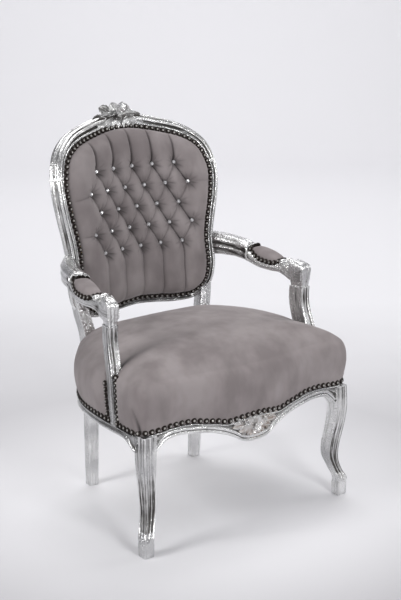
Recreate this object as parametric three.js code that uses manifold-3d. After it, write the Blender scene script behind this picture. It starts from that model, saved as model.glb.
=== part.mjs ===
// A carved armchair in the old French manner: open arms, cabriole front legs, a tufted back in a moulded
// frame that is bent round the sitter, and a deep seat upholstered over its rails.
// Millimetres, +Z up, the chair faces -Y. Left and right are as seen from the front.
import * as THREE from "three";
import { mergeVertices } from "three/addons/utils/BufferGeometryUtils.js";
import Module from "manifold-3d";

// Seat frame
const seatWidth = 660; // across the front corners of the seat outline
const seatDepth = 483; // front middle to back of the seat outline
const railTopHeight = 345;
const sideRailDepth = 59;
const mouldingDepth = 20; // the rails are set back above their moulding
const railThickness = 28;
const railSetback = 6;
const frontRailDrop = 52; // how far the middle of the front rail hangs below its ends
const cornerBlockLength = 46;
const cornerBlockHeight = 32;
const railLowHeight = railTopHeight - sideRailDepth;
const mouldingTopHeight = railLowHeight + mouldingDepth;

// Front legs
const footInset = 17.5; // from the seat's side to the middle of a front foot
const footSetback = 29; // from the seat's front to the middle of a front foot
const footBlockWidth = 28.5;
const footBlockHeight = 37;
const legKneeWidth = 58; // from corner to corner
const legHeadWidth = 52; // square head that the rails are tenoned into
const legHeadDrop = 2; // how far that head reaches below the side rails
const toeRadius = 8;
const legHeight = railLowHeight + 0.7 * mouldingDepth; // of the curved part
const frontFootX = seatWidth / 2 - footInset;
const frontFootY = footSetback - seatDepth / 2;

// Back posts
const postWidth = 34;
const postInset = 26; // from the seat's side to the middle of a post
const postSetback = 15; // from the seat's back edge to the middle of a post
const backFootTuck = 9; // how far a back foot stands inside its post's place at the seat
const backFootRake = 23; // and how far behind it
const seatBackShare = 0.975; // of half the seat depth, where the seat's back edge lies
const postSeatY = (seatDepth / 2) * seatBackShare - postSetback;

// Back frame, measured along the nail line
const backWidth = 460;
const backLift = 148; // from the top of the seat rails to the lower edge of the opening
const backOpeningHeight = 453;
const backSetback = 30; // from the post at the seat to the frame's face at the lower edge
const backReclineDegrees = 8.2;
const backSag = 45; // how far the face comes forward at the sag half width
const backSagHalfWidth = 200;
const backRoll = 8.5; // how far the face curves back over the roll height
const backRollShare = 0.415; // of the opening height: the roll height, and the middle of the curve
const frameThickness = 32;
const frameOuter = 20; // from the nail line to the outer edge
const frameInner = 22; // from the nail line to the inner edge
const crestFlare = 15; // what the crest is wider in its middle
const coverRebate = 3; // depth of the rebate that the velvet lies in
const coverRebateEdge = 6; // from the nail line to the edge of that rebate
const clothRebate = 8; // depth of the rebate for the back cloth
const clothRebateEdge = 8;
const postLap = 67; // how far a post runs up inside the back frame
const backBottomHeight = railTopHeight + backLift;
const postJoinHeight = backBottomHeight + postLap;

// Tufted back cushion
const buttonPitch = 65.8;
const buttonRowStep = 51.6;
const buttonLift = 19; // of the middle row above the middle of the opening
const buttonSeat = 26; // from the nail plane to the seat of a button
const backPuff = 43; // from the nail plane to the top of the puffs
const backEdgeRoll = 46; // width over which the cushion rises from the nails
const coverThickness = 1.3;
const coverEdge = 3;
const coverLap = 14; // how far the cover's flange reaches in behind the pad
const pleatDepth = 10;
const pleatHalfWidth = 11;
const dimpleHalfWidth = 17;
const buttonWidth = 11;
const buttonHeight = 5.5;
const buttonSides = 6;
const clothThickness = 2.4;
const panelThickness = 1.5;
const buttonMiddleHeight = backBottomHeight + backOpeningHeight / 2 + buttonLift;

// Seat cushion
const seatCrownRise = 146; // above the rails
const seatEdgeRise = 85;
const seatBulge = 10;
const pleatPull = 6;
const webbingWidth = 50;
const webbingThickness = 2.2;
const webbingInset = 14;
const webbingPitchShare = 0.16; // of the seat width, from strap to strap
const webbingRowShare = 0.215; // of the seat depth
const dustCoverThickness = 1.6;
const dustCoverInset = 6;

// Arms and their supports
const armLift = 97; // from the lower edge of the back's opening to the datum of the arm
const armDepth = 50; // unit of the arm's own heights
const armWidth = 34;
const armInset = 28; // from the seat's side to the middle of the hand end
const armRootLength = 20; // how far behind the frame face an arm starts
const armOverhang = 18; // how far the hand end reaches past the top of the support
const scrollRadius = 10;
const supportWidth = 28;
const supportDepth = 40;
const supportTopInset = 33; // from the seat's side to the middle of the support's top
const supportSetback = 141; // from the seat's front to the middle of the support's foot
const supportRake = 43; // how far the support's top lies behind its foot
const supportInset = 8; // from the seat outline to the middle of the foot
const supportTurnShare = 0.24; // how far the support is turned to line up with the arm
const padRise = 20;
const padWidth = 54;
const armHeight = backBottomHeight + armLift;
const armJointHeight = armHeight - 0.98 * armDepth;
const supportFootY = supportSetback - seatDepth / 2;
const supportTopY = supportFootY + supportRake;
const supportTopX = seatWidth / 2 - supportTopInset;

// Nail rows
const nailWidth = 11;
const nailRise = 3.4;

// Carvings
const crestCarvingRise = 62; // above the nail line
const crestCarvingWidth = 142;
const crestCarvingDepth = 24;
const apronCarvingWidth = 150;
const apronCarvingDepth = 15;

// Fineness of the curves
const legSpanSteps = 1;
const postSpanSteps = 1;
const supportSpanSteps = 1;
const armSpanSteps = 2;
const carvingDetail = 0;
const netParts = 3;

// Clearances
const fitGap = 0.3;
const softGap = 0.5;
const layerGap = 0.9; // between bent layers, whose facets don't match
const sheetGap = 2.1; // in front of a bent sheet of long facets
const nailGap = 1.6; // between the long facets of the back's cover and the nails on it
const overrun = 40; // extra reach of a cutter

const wasm = await Module();
wasm.setup();

// Reads a table at the place u, smoothly from row to row.
function smoothRow(rows, u) {
  const last = rows.length - 1;
  const k = Math.min(Math.floor(u), last - 1);
  const t = u - k;
  const row = (i) => rows[Math.min(Math.max(i, 0), last)];
  return rows[0].map((_, c) => {
    const [a, b, d, e] = [row(k - 1)[c], row(k)[c], row(k + 1)[c], row(k + 2)[c]];
    const bend = (2 * a - 5 * b + 4 * d - e) * t * t + (3 * b - a - 3 * d + e) * t * t * t;
    return b + 0.5 * ((d - a) * t + bend);
  });
}

function smoothRows(rows, perSpan) {
  const count = (rows.length - 1) * perSpan;
  return Array.from({ length: count + 1 }, (_, i) => smoothRow(rows, i / perSpan));
}

const mix = THREE.MathUtils.lerp;

// A closed mesh from points and triangles, turned to face outwards.
function closedGeometry(points, triangles) {
  const across = new THREE.Vector3();
  let volume = 0;
  for (const [a, b, c] of triangles) volume += points[a].dot(across.crossVectors(points[b], points[c]));
  const order = volume < 0 ? triangles.map(([a, b, c]) => [a, c, b]) : triangles;
  const geometry = new THREE.BufferGeometry();
  const places = points.flatMap((p) => [p.x, p.y, p.z]);
  geometry.setAttribute("position", new THREE.Float32BufferAttribute(places, 3));
  geometry.setIndex(order.flat());
  return geometry;
}

// Triangles that fill a ring of points, wound the same way as the ring.
function capTriangles(ring) {
  const normal = new THREE.Vector3();
  ring.forEach((p, i) => normal.add(new THREE.Vector3().crossVectors(p, ring[(i + 1) % ring.length])));
  normal.normalize();
  const side = Math.abs(normal.x) < 0.9 ? new THREE.Vector3(1, 0, 0) : new THREE.Vector3(0, 1, 0);
  const u = side.cross(normal).normalize();
  const v = new THREE.Vector3().crossVectors(normal, u);
  const flat = ring.map((p) => new THREE.Vector2(p.dot(u), p.dot(v)));
  return THREE.ShapeUtils.triangulateShape(flat, []).map(([a, b, c]) => {
    const turn = flat[b].clone().sub(flat[a]).cross(flat[c].clone().sub(flat[a]));
    return turn > 0 ? [a, b, c] : [a, c, b];
  });
}

// A solid through rings of points; a loop joins its last ring to its first.
function loft(rings, loop = false) {
  const size = rings[0].length;
  const triangles = [];
  const spans = loop ? rings.length : rings.length - 1;
  for (let r = 0; r < spans; r++) {
    const near = r * size;
    const far = ((r + 1) % rings.length) * size;
    for (let i = 0; i < size; i++) {
      const j = (i + 1) % size;
      triangles.push([near + i, near + j, far + j], [near + i, far + j, far + i]);
    }
  }
  if (!loop) {
    const end = (rings.length - 1) * size;
    for (const [a, b, c] of capTriangles(rings[0])) triangles.push([a, c, b]);
    for (const [a, b, c] of capTriangles(rings.at(-1))) triangles.push([end + a, end + b, end + c]);
  }
  return closedGeometry(rings.flat(), triangles);
}

function toSolid(geometry) {
  const bare = geometry.clone();
  bare.deleteAttribute("normal");
  bare.deleteAttribute("uv");
  const merged = mergeVertices(bare);
  const vertProperties = new Float32Array(merged.attributes.position.array);
  const triVerts = new Uint32Array(merged.index.array);
  return new wasm.Manifold(new wasm.Mesh({ numProp: 3, vertProperties, triVerts }));
}

function toGeometry(solid) {
  const { vertProperties, triVerts } = solid.getMesh();
  const geometry = new THREE.BufferGeometry();
  geometry.setAttribute("position", new THREE.BufferAttribute(new Float32Array(vertProperties), 3));
  geometry.setIndex(new THREE.BufferAttribute(new Uint32Array(triVerts), 1));
  return geometry;
}

const loftSolid = (rings, loop) => toSolid(loft(rings, loop));
const joined = (solids) => solids.reduce((all, one) => all.add(one));
const cutBy = (solid, cutters) => cutters.reduce((left, cutter) => left.subtract(cutter), solid);

function boxSolid(width, depth, height, x, y, z) {
  return toSolid(new THREE.BoxGeometry(width, depth, height).translate(x, y, z));
}

// The same geometry on the other side of the chair.
function mirrored(solid) {
  return toSolid(closedMirror(toGeometry(solid)));
}

function closedMirror(geometry) {
  const flipped = geometry.clone().scale(-1, 1, 1);
  const index = flipped.index.array;
  for (let i = 0; i < index.length; i += 3) [index[i + 1], index[i + 2]] = [index[i + 2], index[i + 1]];
  return flipped;
}

// Seat outline, seen from above: shares of the half width and of the half depth, front middle to back middle.
const seatOutlineShares = [
  [0, -1],
  [0.3, -0.967],
  [0.6, -0.907],
  [0.88, -0.892],
  [0.965, -0.862],
  [0.99, -0.79],
  [0.985, -0.487],
  [0.973, -0.155],
  [0.927, 0.25],
  [0.845, 0.532],
  [0.742, 0.739],
  [0.642, 0.896],
  [0.58, 0.958],
  [0.5, 0.972],
  [0.25, seatBackShare],
  [0, seatBackShare],
];
const seatSpanSteps = 2;
const frontRailEndShare = 3.5; // places in that table where the rails end
const sideRailStartShare = 5;

// A closed curve through a half outline and its mirror image, sampled at even parameters.
function wholeLoop(halfPoints, steps) {
  const left = halfPoints.slice(1, -1).reverse().map((p) => new THREE.Vector3(-p.x, p.y, p.z));
  const curve = new THREE.CatmullRomCurve3([...halfPoints, ...left], true, "centripetal");
  const count = (halfPoints.length + left.length) * steps;
  return { curve, count };
}

const seatLoop = wholeLoop(
  seatOutlineShares.map(([x, y]) => new THREE.Vector3((x * seatWidth) / 2, (y * seatDepth) / 2, 0)),
  seatSpanSteps,
);
const seatStations = seatLoop.curve.getPoints(seatLoop.count).slice(0, -1);

// Corner normals whose length keeps an offset parallel to both neighbouring sides.
const seatNormals = seatStations.map((p, i) => {
  const count = seatStations.length;
  const before = p.clone().sub(seatStations[(i + count - 1) % count]).normalize();
  const after = seatStations[(i + 1) % count].clone().sub(p).normalize();
  const mean = before.clone().add(after).normalize();
  const out = new THREE.Vector3(mean.y, -mean.x, 0);
  return out.multiplyScalar(1 / mean.dot(after));
});

// A point of the seat outline at the station u, moved out by a distance and lifted to a height.
function seatPoint(u, out, height) {
  const count = seatStations.length;
  const whole = Math.floor(u);
  const [i, j] = [((whole % count) + count) % count, (((whole + 1) % count) + count) % count];
  const place = seatStations[i].clone().addScaledVector(seatNormals[i], out);
  const next = seatStations[j].clone().addScaledVector(seatNormals[j], out);
  return place.lerp(next, u - whole).setZ(height);
}

// A prism over the seat outline, moved out by a distance. Points that a tight corner folds over are left out.
function seatPrism(out, low, high) {
  const clear = ({ x, y }) =>
    seatStations.every((a, i) => {
      const b = seatStations[(i + 1) % seatStations.length];
      return distanceToLine(x, y, [a.x, a.y, b.x, b.y]) > -out - softGap;
    });
  const kept = seatStations.map((_, i) => seatPoint(i, out, 0)).filter(clear);
  return loftSolid([low, high].map((z) => kept.map((point) => point.clone().setZ(z))));
}

// Station on the right side of the seat outline where it passes a given depth.
function seatStationAt(y) {
  const half = seatStations.length / 2;
  for (let i = Math.floor(half / 4); i < half; i++) {
    const [a, b] = [seatStations[i].y, seatStations[i + 1].y];
    if (a <= y && y <= b) return i + (y - a) / (b - a);
  }
  return half / 2;
}

const postSeatX = seatPoint(seatStationAt(postSeatY), 0, 0).x - postInset;

// Back frame outline on the nail line: shares of the half width and of the opening height, top to bottom.
const backOutlineShares = [
  [0, 1],
  [0.2, 0.991],
  [0.404, 0.971],
  [0.717, 0.928],
  [0.9, 0.865],
  [0.985, 0.765],
  [1, 0.702],
  [0.974, 0.587],
  [0.904, 0.408],
  [0.883, 0.329],
  [0.887, 0.148],
  [0.835, 0.053],
  [0.687, -0.007],
  [0.483, -0.018],
  [0.26, -0.009],
  [0, 0],
];
const backSpanSteps = 2;
const crestJointShare = 5; // place in that table where the crest rail meets a post
const lowerJointShare = 12;
const crestJoint = crestJointShare * backSpanSteps;
const lowerJoint = lowerJointShare * backSpanSteps;

const backLoop = wholeLoop(
  backOutlineShares.map(
    ([x, z]) => new THREE.Vector3((x * backWidth) / 2, 0, backBottomHeight + z * backOpeningHeight),
  ),
  backSpanSteps,
);

const reclineSlope = Math.tan(THREE.MathUtils.degToRad(backReclineDegrees));
const backRollHeight = backRollShare * backOpeningHeight;
const backRollMiddle = backBottomHeight + backRollHeight;

function backFaceY(x, z) {
  const lean = (z - backBottomHeight) * reclineSlope;
  const roll = backRoll * ((z - backRollMiddle) / backRollHeight) ** 2;
  return postSeatY + backSetback + lean + roll - backSag * (x / backSagHalfWidth) ** 2;
}

// A point at a depth behind the bent face of the back.
function onBack(x, z, depth) {
  const slopeX = (-2 * backSag * x) / backSagHalfWidth ** 2;
  const slopeZ = reclineSlope + (2 * backRoll * (z - backRollMiddle)) / backRollHeight ** 2;
  const normal = new THREE.Vector3(-slopeX, 1, -slopeZ).normalize();
  return new THREE.Vector3(x, backFaceY(x, z), z).addScaledVector(normal, depth);
}

// A point of the back outline at the station u, moved out by a distance and back by a depth.
function framePoint(u, out, depth) {
  const share = (((u / backLoop.count) % 1) + 1) % 1;
  const place = backLoop.curve.getPoint(share);
  const along = backLoop.curve.getTangent(share);
  return onBack(place.x - along.z * out, place.z + along.x * out, depth);
}

// A prism through the back, inside the nail line moved out by a distance.
function backPrism(out, everyStation = 1) {
  const depths = [-1.5, 0.3, 1, 4].map((share) => share * overrun);
  const stations = Array.from({ length: backLoop.count / everyStation }, (_, i) => i * everyStation);
  return loftSolid(depths.map((depth) => stations.map((u) => framePoint(u, out, depth))));
}

// A thin bent sheet inside the nail line, that sinks back a little towards its middle.
function bentSheet(out, depth, thickness) {
  const stations = Array.from({ length: backLoop.count / 2 }, (_, i) => i * 2);
  const middle = backBottomHeight + backOpeningHeight / 2;
  const spot = (u, inward, offset) => {
    const share = u / backLoop.count;
    const [place, along] = [backLoop.curve.getPoint(share), backLoop.curve.getTangent(share)];
    const [x, z] = [place.x - along.z * offset, place.z + along.x * offset];
    return [x * (1 - inward), mix(z, middle, inward)];
  };
  const side = (back) => {
    const level = depth + back * thickness;
    const rows = [
      [0, out, 0],
      [0, -frameInner, 0],
      [0.3, -frameInner, 2 * layerGap],
      [0.65, -frameInner, 3 * layerGap],
    ];
    return rows.map(([inward, offset, sink]) =>
      stations.map((u) => onBack(...spot(u, inward, offset), level + sink)),
    );
  };
  const pole = (back) => onBack(0, middle, depth + back * thickness + 3 * layerGap);
  return poled([...side(0).reverse(), ...side(1)], pole(0), pole(1));
}

// Half width of the nail line at a height, on the lower half of the back.
function backHalfWidthAt(z) {
  const half = backLoop.count / 2;
  for (let i = Math.floor(half / 3); i < half; i++) {
    const [a, b] = [i, i + 1].map((u) => backLoop.curve.getPoint(u / backLoop.count));
    if (b.z <= z && z <= a.z) return mix(a.x, b.x, (a.z - z) / (a.z - b.z));
  }
  return backWidth / 2;
}

// Moulding of the back frame outside the velvet: shares of its width and of the frame thickness.
const frameMouldingShares = [
  [0, 0],
  [0.18, -0.03],
  [0.36, 0],
  [0.43, 0.09],
  [0.58, 0.09],
  [0.66, 0.01],
  [0.9, 0.03],
  [1.03, 0.16],
  [0.92, 0.28],
  [0.92, 0.36],
  [1.05, 0.46],
  [1.05, 0.86],
  [0.82, 1],
];

function frameSection(u) {
  const fromTop = Math.min(Math.abs(u), Math.abs(backLoop.count - u)) / crestJoint;
  const flare = crestFlare * (1 - THREE.MathUtils.smoothstep(fromTop, 0.3, 1.2));
  const width = frameOuter - coverRebateEdge + flare;
  const moulding = frameMouldingShares.map(([n, d]) => [coverRebateEdge + n * width, d * frameThickness]);
  const rear = frameThickness - coverRebate;
  return [
    [-frameInner, clothRebate],
    [-clothRebateEdge, clothRebate],
    [-clothRebateEdge, coverRebate],
    [coverRebateEdge, coverRebate],
    ...moulding,
    [-coverRebateEdge, frameThickness],
    [-coverRebateEdge, rear],
    [-frameInner, rear],
  ];
}

// A stretch of the back frame between two stations, with half a joint gap left at each end.
function frameStretch(from, to) {
  const step = framePoint(from, 0, 0).distanceTo(framePoint(from + 0.1, 0, 0)) * 10;
  const gap = fitGap / 2 / step;
  const stations = [from + gap];
  for (let u = Math.floor(from) + 1; u < to; u++) stations.push(u);
  stations.push(to - gap);
  return loftSolid(stations.map((u) => frameSection(u).map(([n, d]) => framePoint(u, n, d))));
}

// The whole frame as a plain band, a little oversize, to cut what is fitted against it.
function frameCutter() {
  const [outer, inner] = [frameOuter + 1.2 * fitGap + frameOuter * 0.04, -frameInner];
  const [front, rear] = [-0.04 * frameThickness - fitGap, frameThickness + fitGap];
  const section = [
    [inner, front],
    [outer, front],
    [outer, rear],
    [inner, rear],
  ];
  const rings = Array.from({ length: backLoop.count }, (_, u) => section.map(([n, d]) => framePoint(u, n, d)));
  return loftSolid(rings, true);
}

// A bar of square section that can carry hollows on its front and outer sides.
const mouldedBarShares = [
  [-0.72, -1],
  [-0.5, -0.86],
  [-0.12, -0.86],
  [0, -1],
  [0.14, -0.86],
  [0.6, -0.86],
  [0.8, -1],
  [1, -0.78],
  [0.88, -0.5],
  [0.88, -0.1],
  [1, 0.06],
  [1, 0.85],
  [0.85, 1],
  [-0.85, 1],
  [-1, 0.85],
  [-1, -0.75],
];
const plainBarShares = [
  [-0.82, -1],
  [0.82, -1],
  [1, -0.82],
  [1, 0.82],
  [0.82, 1],
  [-0.82, 1],
  [-1, 0.82],
  [-1, -0.82],
];

function barRing(sectionShares, x, y, z, width, depth, { reachX = 0, reachY = 0, turn = 0 } = {}) {
  return sectionShares.map(([a, b]) => {
    const [dx, dy] = [(a * width) / 2 + (a > 0 ? reachX : 0), (b * depth) / 2 + (b > 0 ? reachY : 0)];
    return new THREE.Vector3(x + dx - turn * dy, y + dy, z);
  });
}

// Front legs
// One outer face of the leg: places along it, and how deep the hollows go as a share of the width.
const legFaceShares = [
  [0.07, 0],
  [0.24, 0],
  [0.3, 0.07],
  [0.46, 0.07],
  [0.52, 0],
  [0.66, 0],
  [0.72, 0.07],
  [0.88, 0.07],
  [0.95, 0],
];

// Section of the leg about its own middle: first axis towards the chair corner, second across it.
function legSectionShares() {
  const face = (side) => legFaceShares.map(([f, deep]) => [1 - f - deep, side * (f - deep)]);
  const inner = [
    [-0.93, 0.07],
    [-0.93, -0.07],
  ];
  return [...face(1), ...inner, ...face(-1).reverse()];
}

// Height share, lean outwards as a share of the knee width, and both widths as shares of it.
const legShares = [
  [0.12, 0, 0.66, 0.66],
  [0.15, 0.02, 0.72, 0.7],
  [0.19, -0.07, 0.68, 0.68],
  [0.22, -0.17, 0.65, 0.66],
  [0.29, -0.34, 0.69, 0.66],
  [0.36, -0.45, 0.81, 0.69],
  [0.46, -0.44, 0.88, 0.74],
  [0.58, -0.32, 0.9, 0.79],
  [0.7, -0.21, 0.93, 0.87],
  [0.82, -0.15, 0.97, 0.94],
  [0.92, -0.16, 0.98, 0.98],
  [1, -0.18, 0.98, 1],
];

function frontLegSolid(grow = 0) {
  const diagonal = Math.SQRT1_2;
  const [footX, footY] = [frontFootX, frontFootY];
  const section = legSectionShares();
  const rings = smoothRows(legShares, legSpanSteps).map(([h, lean, along, across]) => {
    const [p0, z] = [lean * legKneeWidth, h * legHeight];
    const [halfP, halfQ] = [(along * legKneeWidth) / 2 + 2 * grow, (across * legKneeWidth) / 2 + 2 * grow];
    return section.map(([p, q]) => {
      const [out, side] = [p0 + p * halfP, q * halfQ];
      return new THREE.Vector3(footX + (out + side) * diagonal, footY - (out - side) * diagonal, z);
    });
  });
  const curved = loftSolid(rings);
  const foot = loftSolid([
    barRing(plainBarShares, footX, footY, 0, footBlockWidth * 0.93, footBlockWidth * 0.93),
    barRing(plainBarShares, footX, footY, footBlockHeight * 0.08, footBlockWidth, footBlockWidth),
    barRing(plainBarShares, footX, footY, footBlockHeight, footBlockWidth, footBlockWidth),
  ]);
  const toes = [
    [footBlockWidth / 2, -footBlockWidth * 0.3],
    [footBlockWidth * 0.3, -footBlockWidth / 2],
  ].map(([x, y]) => {
    const ball = new THREE.IcosahedronGeometry(toeRadius, 1).scale(0.8, 0.8, 1);
    return toSolid(ball.translate(footX + x * 0.72, footY + y * 0.72, footBlockHeight + toeRadius));
  });
  const headLow = railLowHeight - legHeadDrop;
  const headHigh = railTopHeight;
  const head = boxSolid(
    legHeadWidth + 2 * grow,
    legHeadWidth + 2 * grow,
    headHigh - headLow + 2 * grow,
    footX,
    footY,
    (headLow + headHigh) / 2,
  );
  if (grow > 0) return joined([curved, foot, head]);
  const lowHead = head.intersect(seatPrism(0, headLow - overrun, mouldingTopHeight));
  const highHead = head.intersect(seatPrism(-railSetback, headLow, headHigh + overrun));
  return joined([curved, foot, ...toes, lowHead, highHead]);
}

// Back posts
// Height share, place between foot and seat, place between seat and back frame, width share, depth share.
const postShares = [
  [0, 0, 0, 0.76, 0.76],
  [0.2, 0.25, 0, 0.84, 0.84],
  [0.42, 0.62, 0, 0.93, 0.93],
  [0.62, 0.95, 0, 1, 1],
  [0.77, 1, 0.25, 1, 1],
  [0.86, 1, 0.7, 1, 0.97],
  [0.93, 1, 0.95, 0.95, 0.9],
  [1, 1, 1, 0.8, 0.8],
];

// Grown, it is a cutter for what fits round the post; it can also reach back, to clear what lies behind.
function postSolid(grow = 0, reach = 0) {
  const topX = backHalfWidthAt(postJoinHeight) - 0.1 * frameOuter;
  const topY = backFaceY(topX, postJoinHeight) + frameThickness / 2;
  const rings = smoothRows(postShares, postSpanSteps).map(([h, lean, rise, width, depth]) => {
    const x = mix(postSeatX - backFootTuck * (1 - lean), topX, rise);
    const y = mix(postSeatY + backFootRake * (1 - lean), topY, rise);
    const z = h * postJoinHeight;
    const [wide, deep] = [width * postWidth + 2 * grow, depth * postWidth + 2 * grow];
    return barRing(plainBarShares, x, y, z, wide, deep, { reachY: reach });
  });
  return loftSolid(rings);
}

function backPostSolid() {
  const insideFrame = backPrism(frameOuter * 0.65);
  const leg = postSolid().subtract(insideFrame);
  const stile = frameStretch(crestJoint, lowerJoint);
  return leg.add(stile);
}

// Seat rails
// Section of a side rail: places from the seat outline, and heights.
function sideRailSection() {
  const rise = mouldingTopHeight - railLowHeight;
  const face = [
    [-0.02, 0],
    [0.07, 0.12],
    [0.09, 0.34],
    [-0.02, 0.44],
    [-0.02, 0.6],
    [0.08, 0.7],
    [0.08, 0.92],
    [0, 1],
  ].map(([n, h]) => [n * railThickness, railLowHeight + h * rise]);
  return [
    [-railThickness, railLowHeight],
    ...face,
    [-railSetback, mouldingTopHeight],
    [-railSetback, railTopHeight],
    [-railThickness, railTopHeight],
  ];
}

// Lower edge of the front rail: place from the middle to the leg, and share of the drop.
const frontRailDropShares = [
  [0, 1],
  [0.08, 0.97],
  [0.15, 0.86],
  [0.22, 0.62],
  [0.32, 0.36],
  [0.45, 0.14],
  [0.6, 0.02],
  [0.75, -0.06],
  [0.88, 0],
  [0.96, 0.3],
  [1, 0.55],
];

function frontRailLow(x) {
  const share = Math.min(Math.abs(x) / (frontFootX - legHeadWidth / 2), 1);
  const k = Math.max(frontRailDropShares.findIndex(([s]) => s >= share), 1);
  const [[a, low], [b, high]] = [frontRailDropShares[k - 1], frontRailDropShares[k]];
  return railLowHeight - frontRailDrop * mix(low, high, (share - a) / (b - a));
}

function frontRailSection(x) {
  const low = frontRailLow(x);
  const bead = 0.22 * (mouldingTopHeight - railLowHeight);
  return [
    [-railThickness, low],
    [-0.02 * railThickness, low],
    [0.08 * railThickness, low + bead],
    [0.08 * railThickness, low + 2 * bead],
    [-0.03 * railThickness, low + 2.6 * bead],
    [-0.03 * railThickness, mouldingTopHeight - 2.2 * bead],
    [0.08 * railThickness, mouldingTopHeight - 1.6 * bead],
    [0.08 * railThickness, mouldingTopHeight - 0.4 * bead],
    [0, mouldingTopHeight],
    [-railSetback, mouldingTopHeight],
    [-railSetback, railTopHeight],
    [-railThickness, railTopHeight],
  ];
}

function railStretch(stations, section) {
  return loftSolid(stations.map((u) => section(seatPoint(u, 0, 0).x).map(([n, z]) => seatPoint(u, n, z))));
}

function evenStations(from, to, perStation) {
  const count = Math.round((to - from) * perStation);
  return Array.from({ length: count + 1 }, (_, i) => from + i / perStation);
}

// Arms: place along, place across from root to hand end, top, bottom (of the arm depth about its datum), width,
// and how far the top is rounded off at its sides, as a share of the arm's height there.
const armShares = [
  [0, 0.11, 1.18, -0.06, 1.2, 0.14],
  [0.1, 0.335, 1.14, -0.02, 1.32, 0.18],
  [0.23, 0.54, 1.06, -0.02, 1.44, 0.2],
  [0.345, 0.65, 0.96, -0.1, 1.5, 0.16],
  [0.394, 0.7, 0.66, -0.18, 1.56, 0.1],
  [0.523, 0.8, 0.42, -0.36, 1.59, 0.42],
  [0.652, 0.86, 0.24, -0.42, 1.41, 0.42],
  [0.748, 0.89, 0.2, -0.42, 1.15, 0.34],
  [0.813, 0.905, 0.24, -0.56, 0.97, 0.14],
  [0.877, 0.95, 0.3, -0.74, 0.97, 0.12],
  [0.958, 0.99, 0.34, -0.72, 1, 0.12],
  [1, 1, 0.38, -0.66, 1, 0.12],
];
// One side of the arm below its rounded top: places out, and heights from the bottom.
const armSideShares = [
  [0.8, 0],
  [1, 0.12],
  [0.88, 0.24],
  [1, 0.35],
  [0.88, 0.46],
  [1, 0.56],
];
const padFirstSpan = 4;
const padLastSpan = 7;

function armStations() {
  const rootHeight = armHeight + 0.56 * armDepth;
  const rootX = backHalfWidthAt(rootHeight) + frameOuter;
  const rootY = backFaceY(rootX, rootHeight) + armRootLength;
  return smoothRows(armShares, armSpanSteps).map(([along, across, top, bottom, width, round]) => ({
    x: mix(rootX, seatWidth / 2 - armInset, across),
    y: mix(rootY, supportTopY - armOverhang, along),
    top: armHeight + top * armDepth,
    bottom: armHeight + bottom * armDepth,
    half: (width * armWidth) / 2,
    round,
  }));
}

// Grown, it is a ring of the cutter that fits the pad to the arm.
function armRing({ x, y, top, bottom, half, round }, grow = 0) {
  const height = top - bottom;
  const side = [
    ...armSideShares.map(([a, h]) => [a * half + grow, bottom + h * height - grow]),
    [half + grow, top - round * height],
    [(0.86 - 0.9 * round) * half + grow, top + grow],
  ];
  const otherSide = side.map(([dx, z]) => [-dx, z]).reverse();
  return [...side, ...otherSide].map(([dx, z]) => new THREE.Vector3(x + dx, y, z));
}

// Height share, place from joint to foot across and along, width share, depth share.
const supportShares = [
  [0, 1, 1, 0.8, 0.6],
  [0.1, 0.94, 0.96, 0.86, 0.7],
  [0.23, 0.78, 0.84, 0.95, 0.86],
  [0.4, 0.52, 0.64, 1, 1],
  [0.57, 0.24, 0.36, 1.04, 1.06],
  [0.74, 0.05, 0.08, 1, 1.02],
  [0.87, 0, -0.04, 1, 1],
  [1, 0, 0, 1, 1],
];

// Grown, it is a cutter; it can also reach outwards, to clear what would cover the support's outer face.
function supportSolid(grow = 0, reach = 0) {
  const [topX, topY] = [supportTopX, supportTopY];
  const foot = seatPoint(seatStationAt(supportFootY), -supportInset, 0);
  const low = mouldingTopHeight + fitGap - grow;
  const high = armJointHeight - fitGap / 2 + grow;
  const section = grow > 0 ? plainBarShares : mouldedBarShares;
  const rings = smoothRows(supportShares, supportSpanSteps).map(([h, across, along, width, depth]) =>
    barRing(
      section,
      mix(topX, foot.x, across),
      mix(topY, foot.y, along),
      mix(low, high, h),
      width * supportWidth + 2 * grow,
      depth * supportDepth + 2 * grow,
      { reachX: reach, turn: supportTurnShare },
    ),
  );
  return loftSolid(rings);
}

const scrollStation = () => armStations()[padLastSpan * armSpanSteps + 1];

// The small scroll across the arm behind its hand end.
function armScroll(grow = 0) {
  const { x, y } = scrollStation();
  const radius = scrollRadius + grow;
  const scroll = new THREE.CylinderGeometry(radius, radius, armWidth * 1.08 + 2 * grow, 12);
  return toSolid(scroll.rotateZ(Math.PI / 2).translate(x, y, armHeight + 0.16 * armDepth));
}

function armSolid() {
  const stations = armStations();
  const bar = loftSolid(stations.map((station) => armRing(station)));
  const stub = loftSolid(
    [armJointHeight + fitGap / 2, armHeight].map((z) => {
      const turned = { turn: supportTurnShare };
      return barRing(mouldedBarShares, supportTopX, supportTopY, z, supportWidth, supportDepth, turned);
    }),
  );
  return joined([bar, stub, armScroll()]).subtract(frameCutter());
}

// Arm pads: rise, width, and how far the sides come down over the arm, as a share of the arm's height.
const padShares = [
  [0.12, 0.64, 0],
  [0.78, 0.9, 0.26],
  [0.96, 1, 0.38],
  [1, 0.98, 0.38],
  [0.9, 0.88, 0.38],
  [0.62, 0.7, 0.3],
  [0.12, 0.42, 0.1],
];
// Top of a pad from side to side: places across, and heights from its edge to its crown.
const padTopShares = [
  [1, 0],
  [1, 0.22],
  [0.9, 0.58],
  [0.6, 0.88],
  [0, 1],
  [-0.6, 0.88],
  [-0.9, 0.58],
  [-1, 0.22],
  [-1, 0],
];

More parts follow.
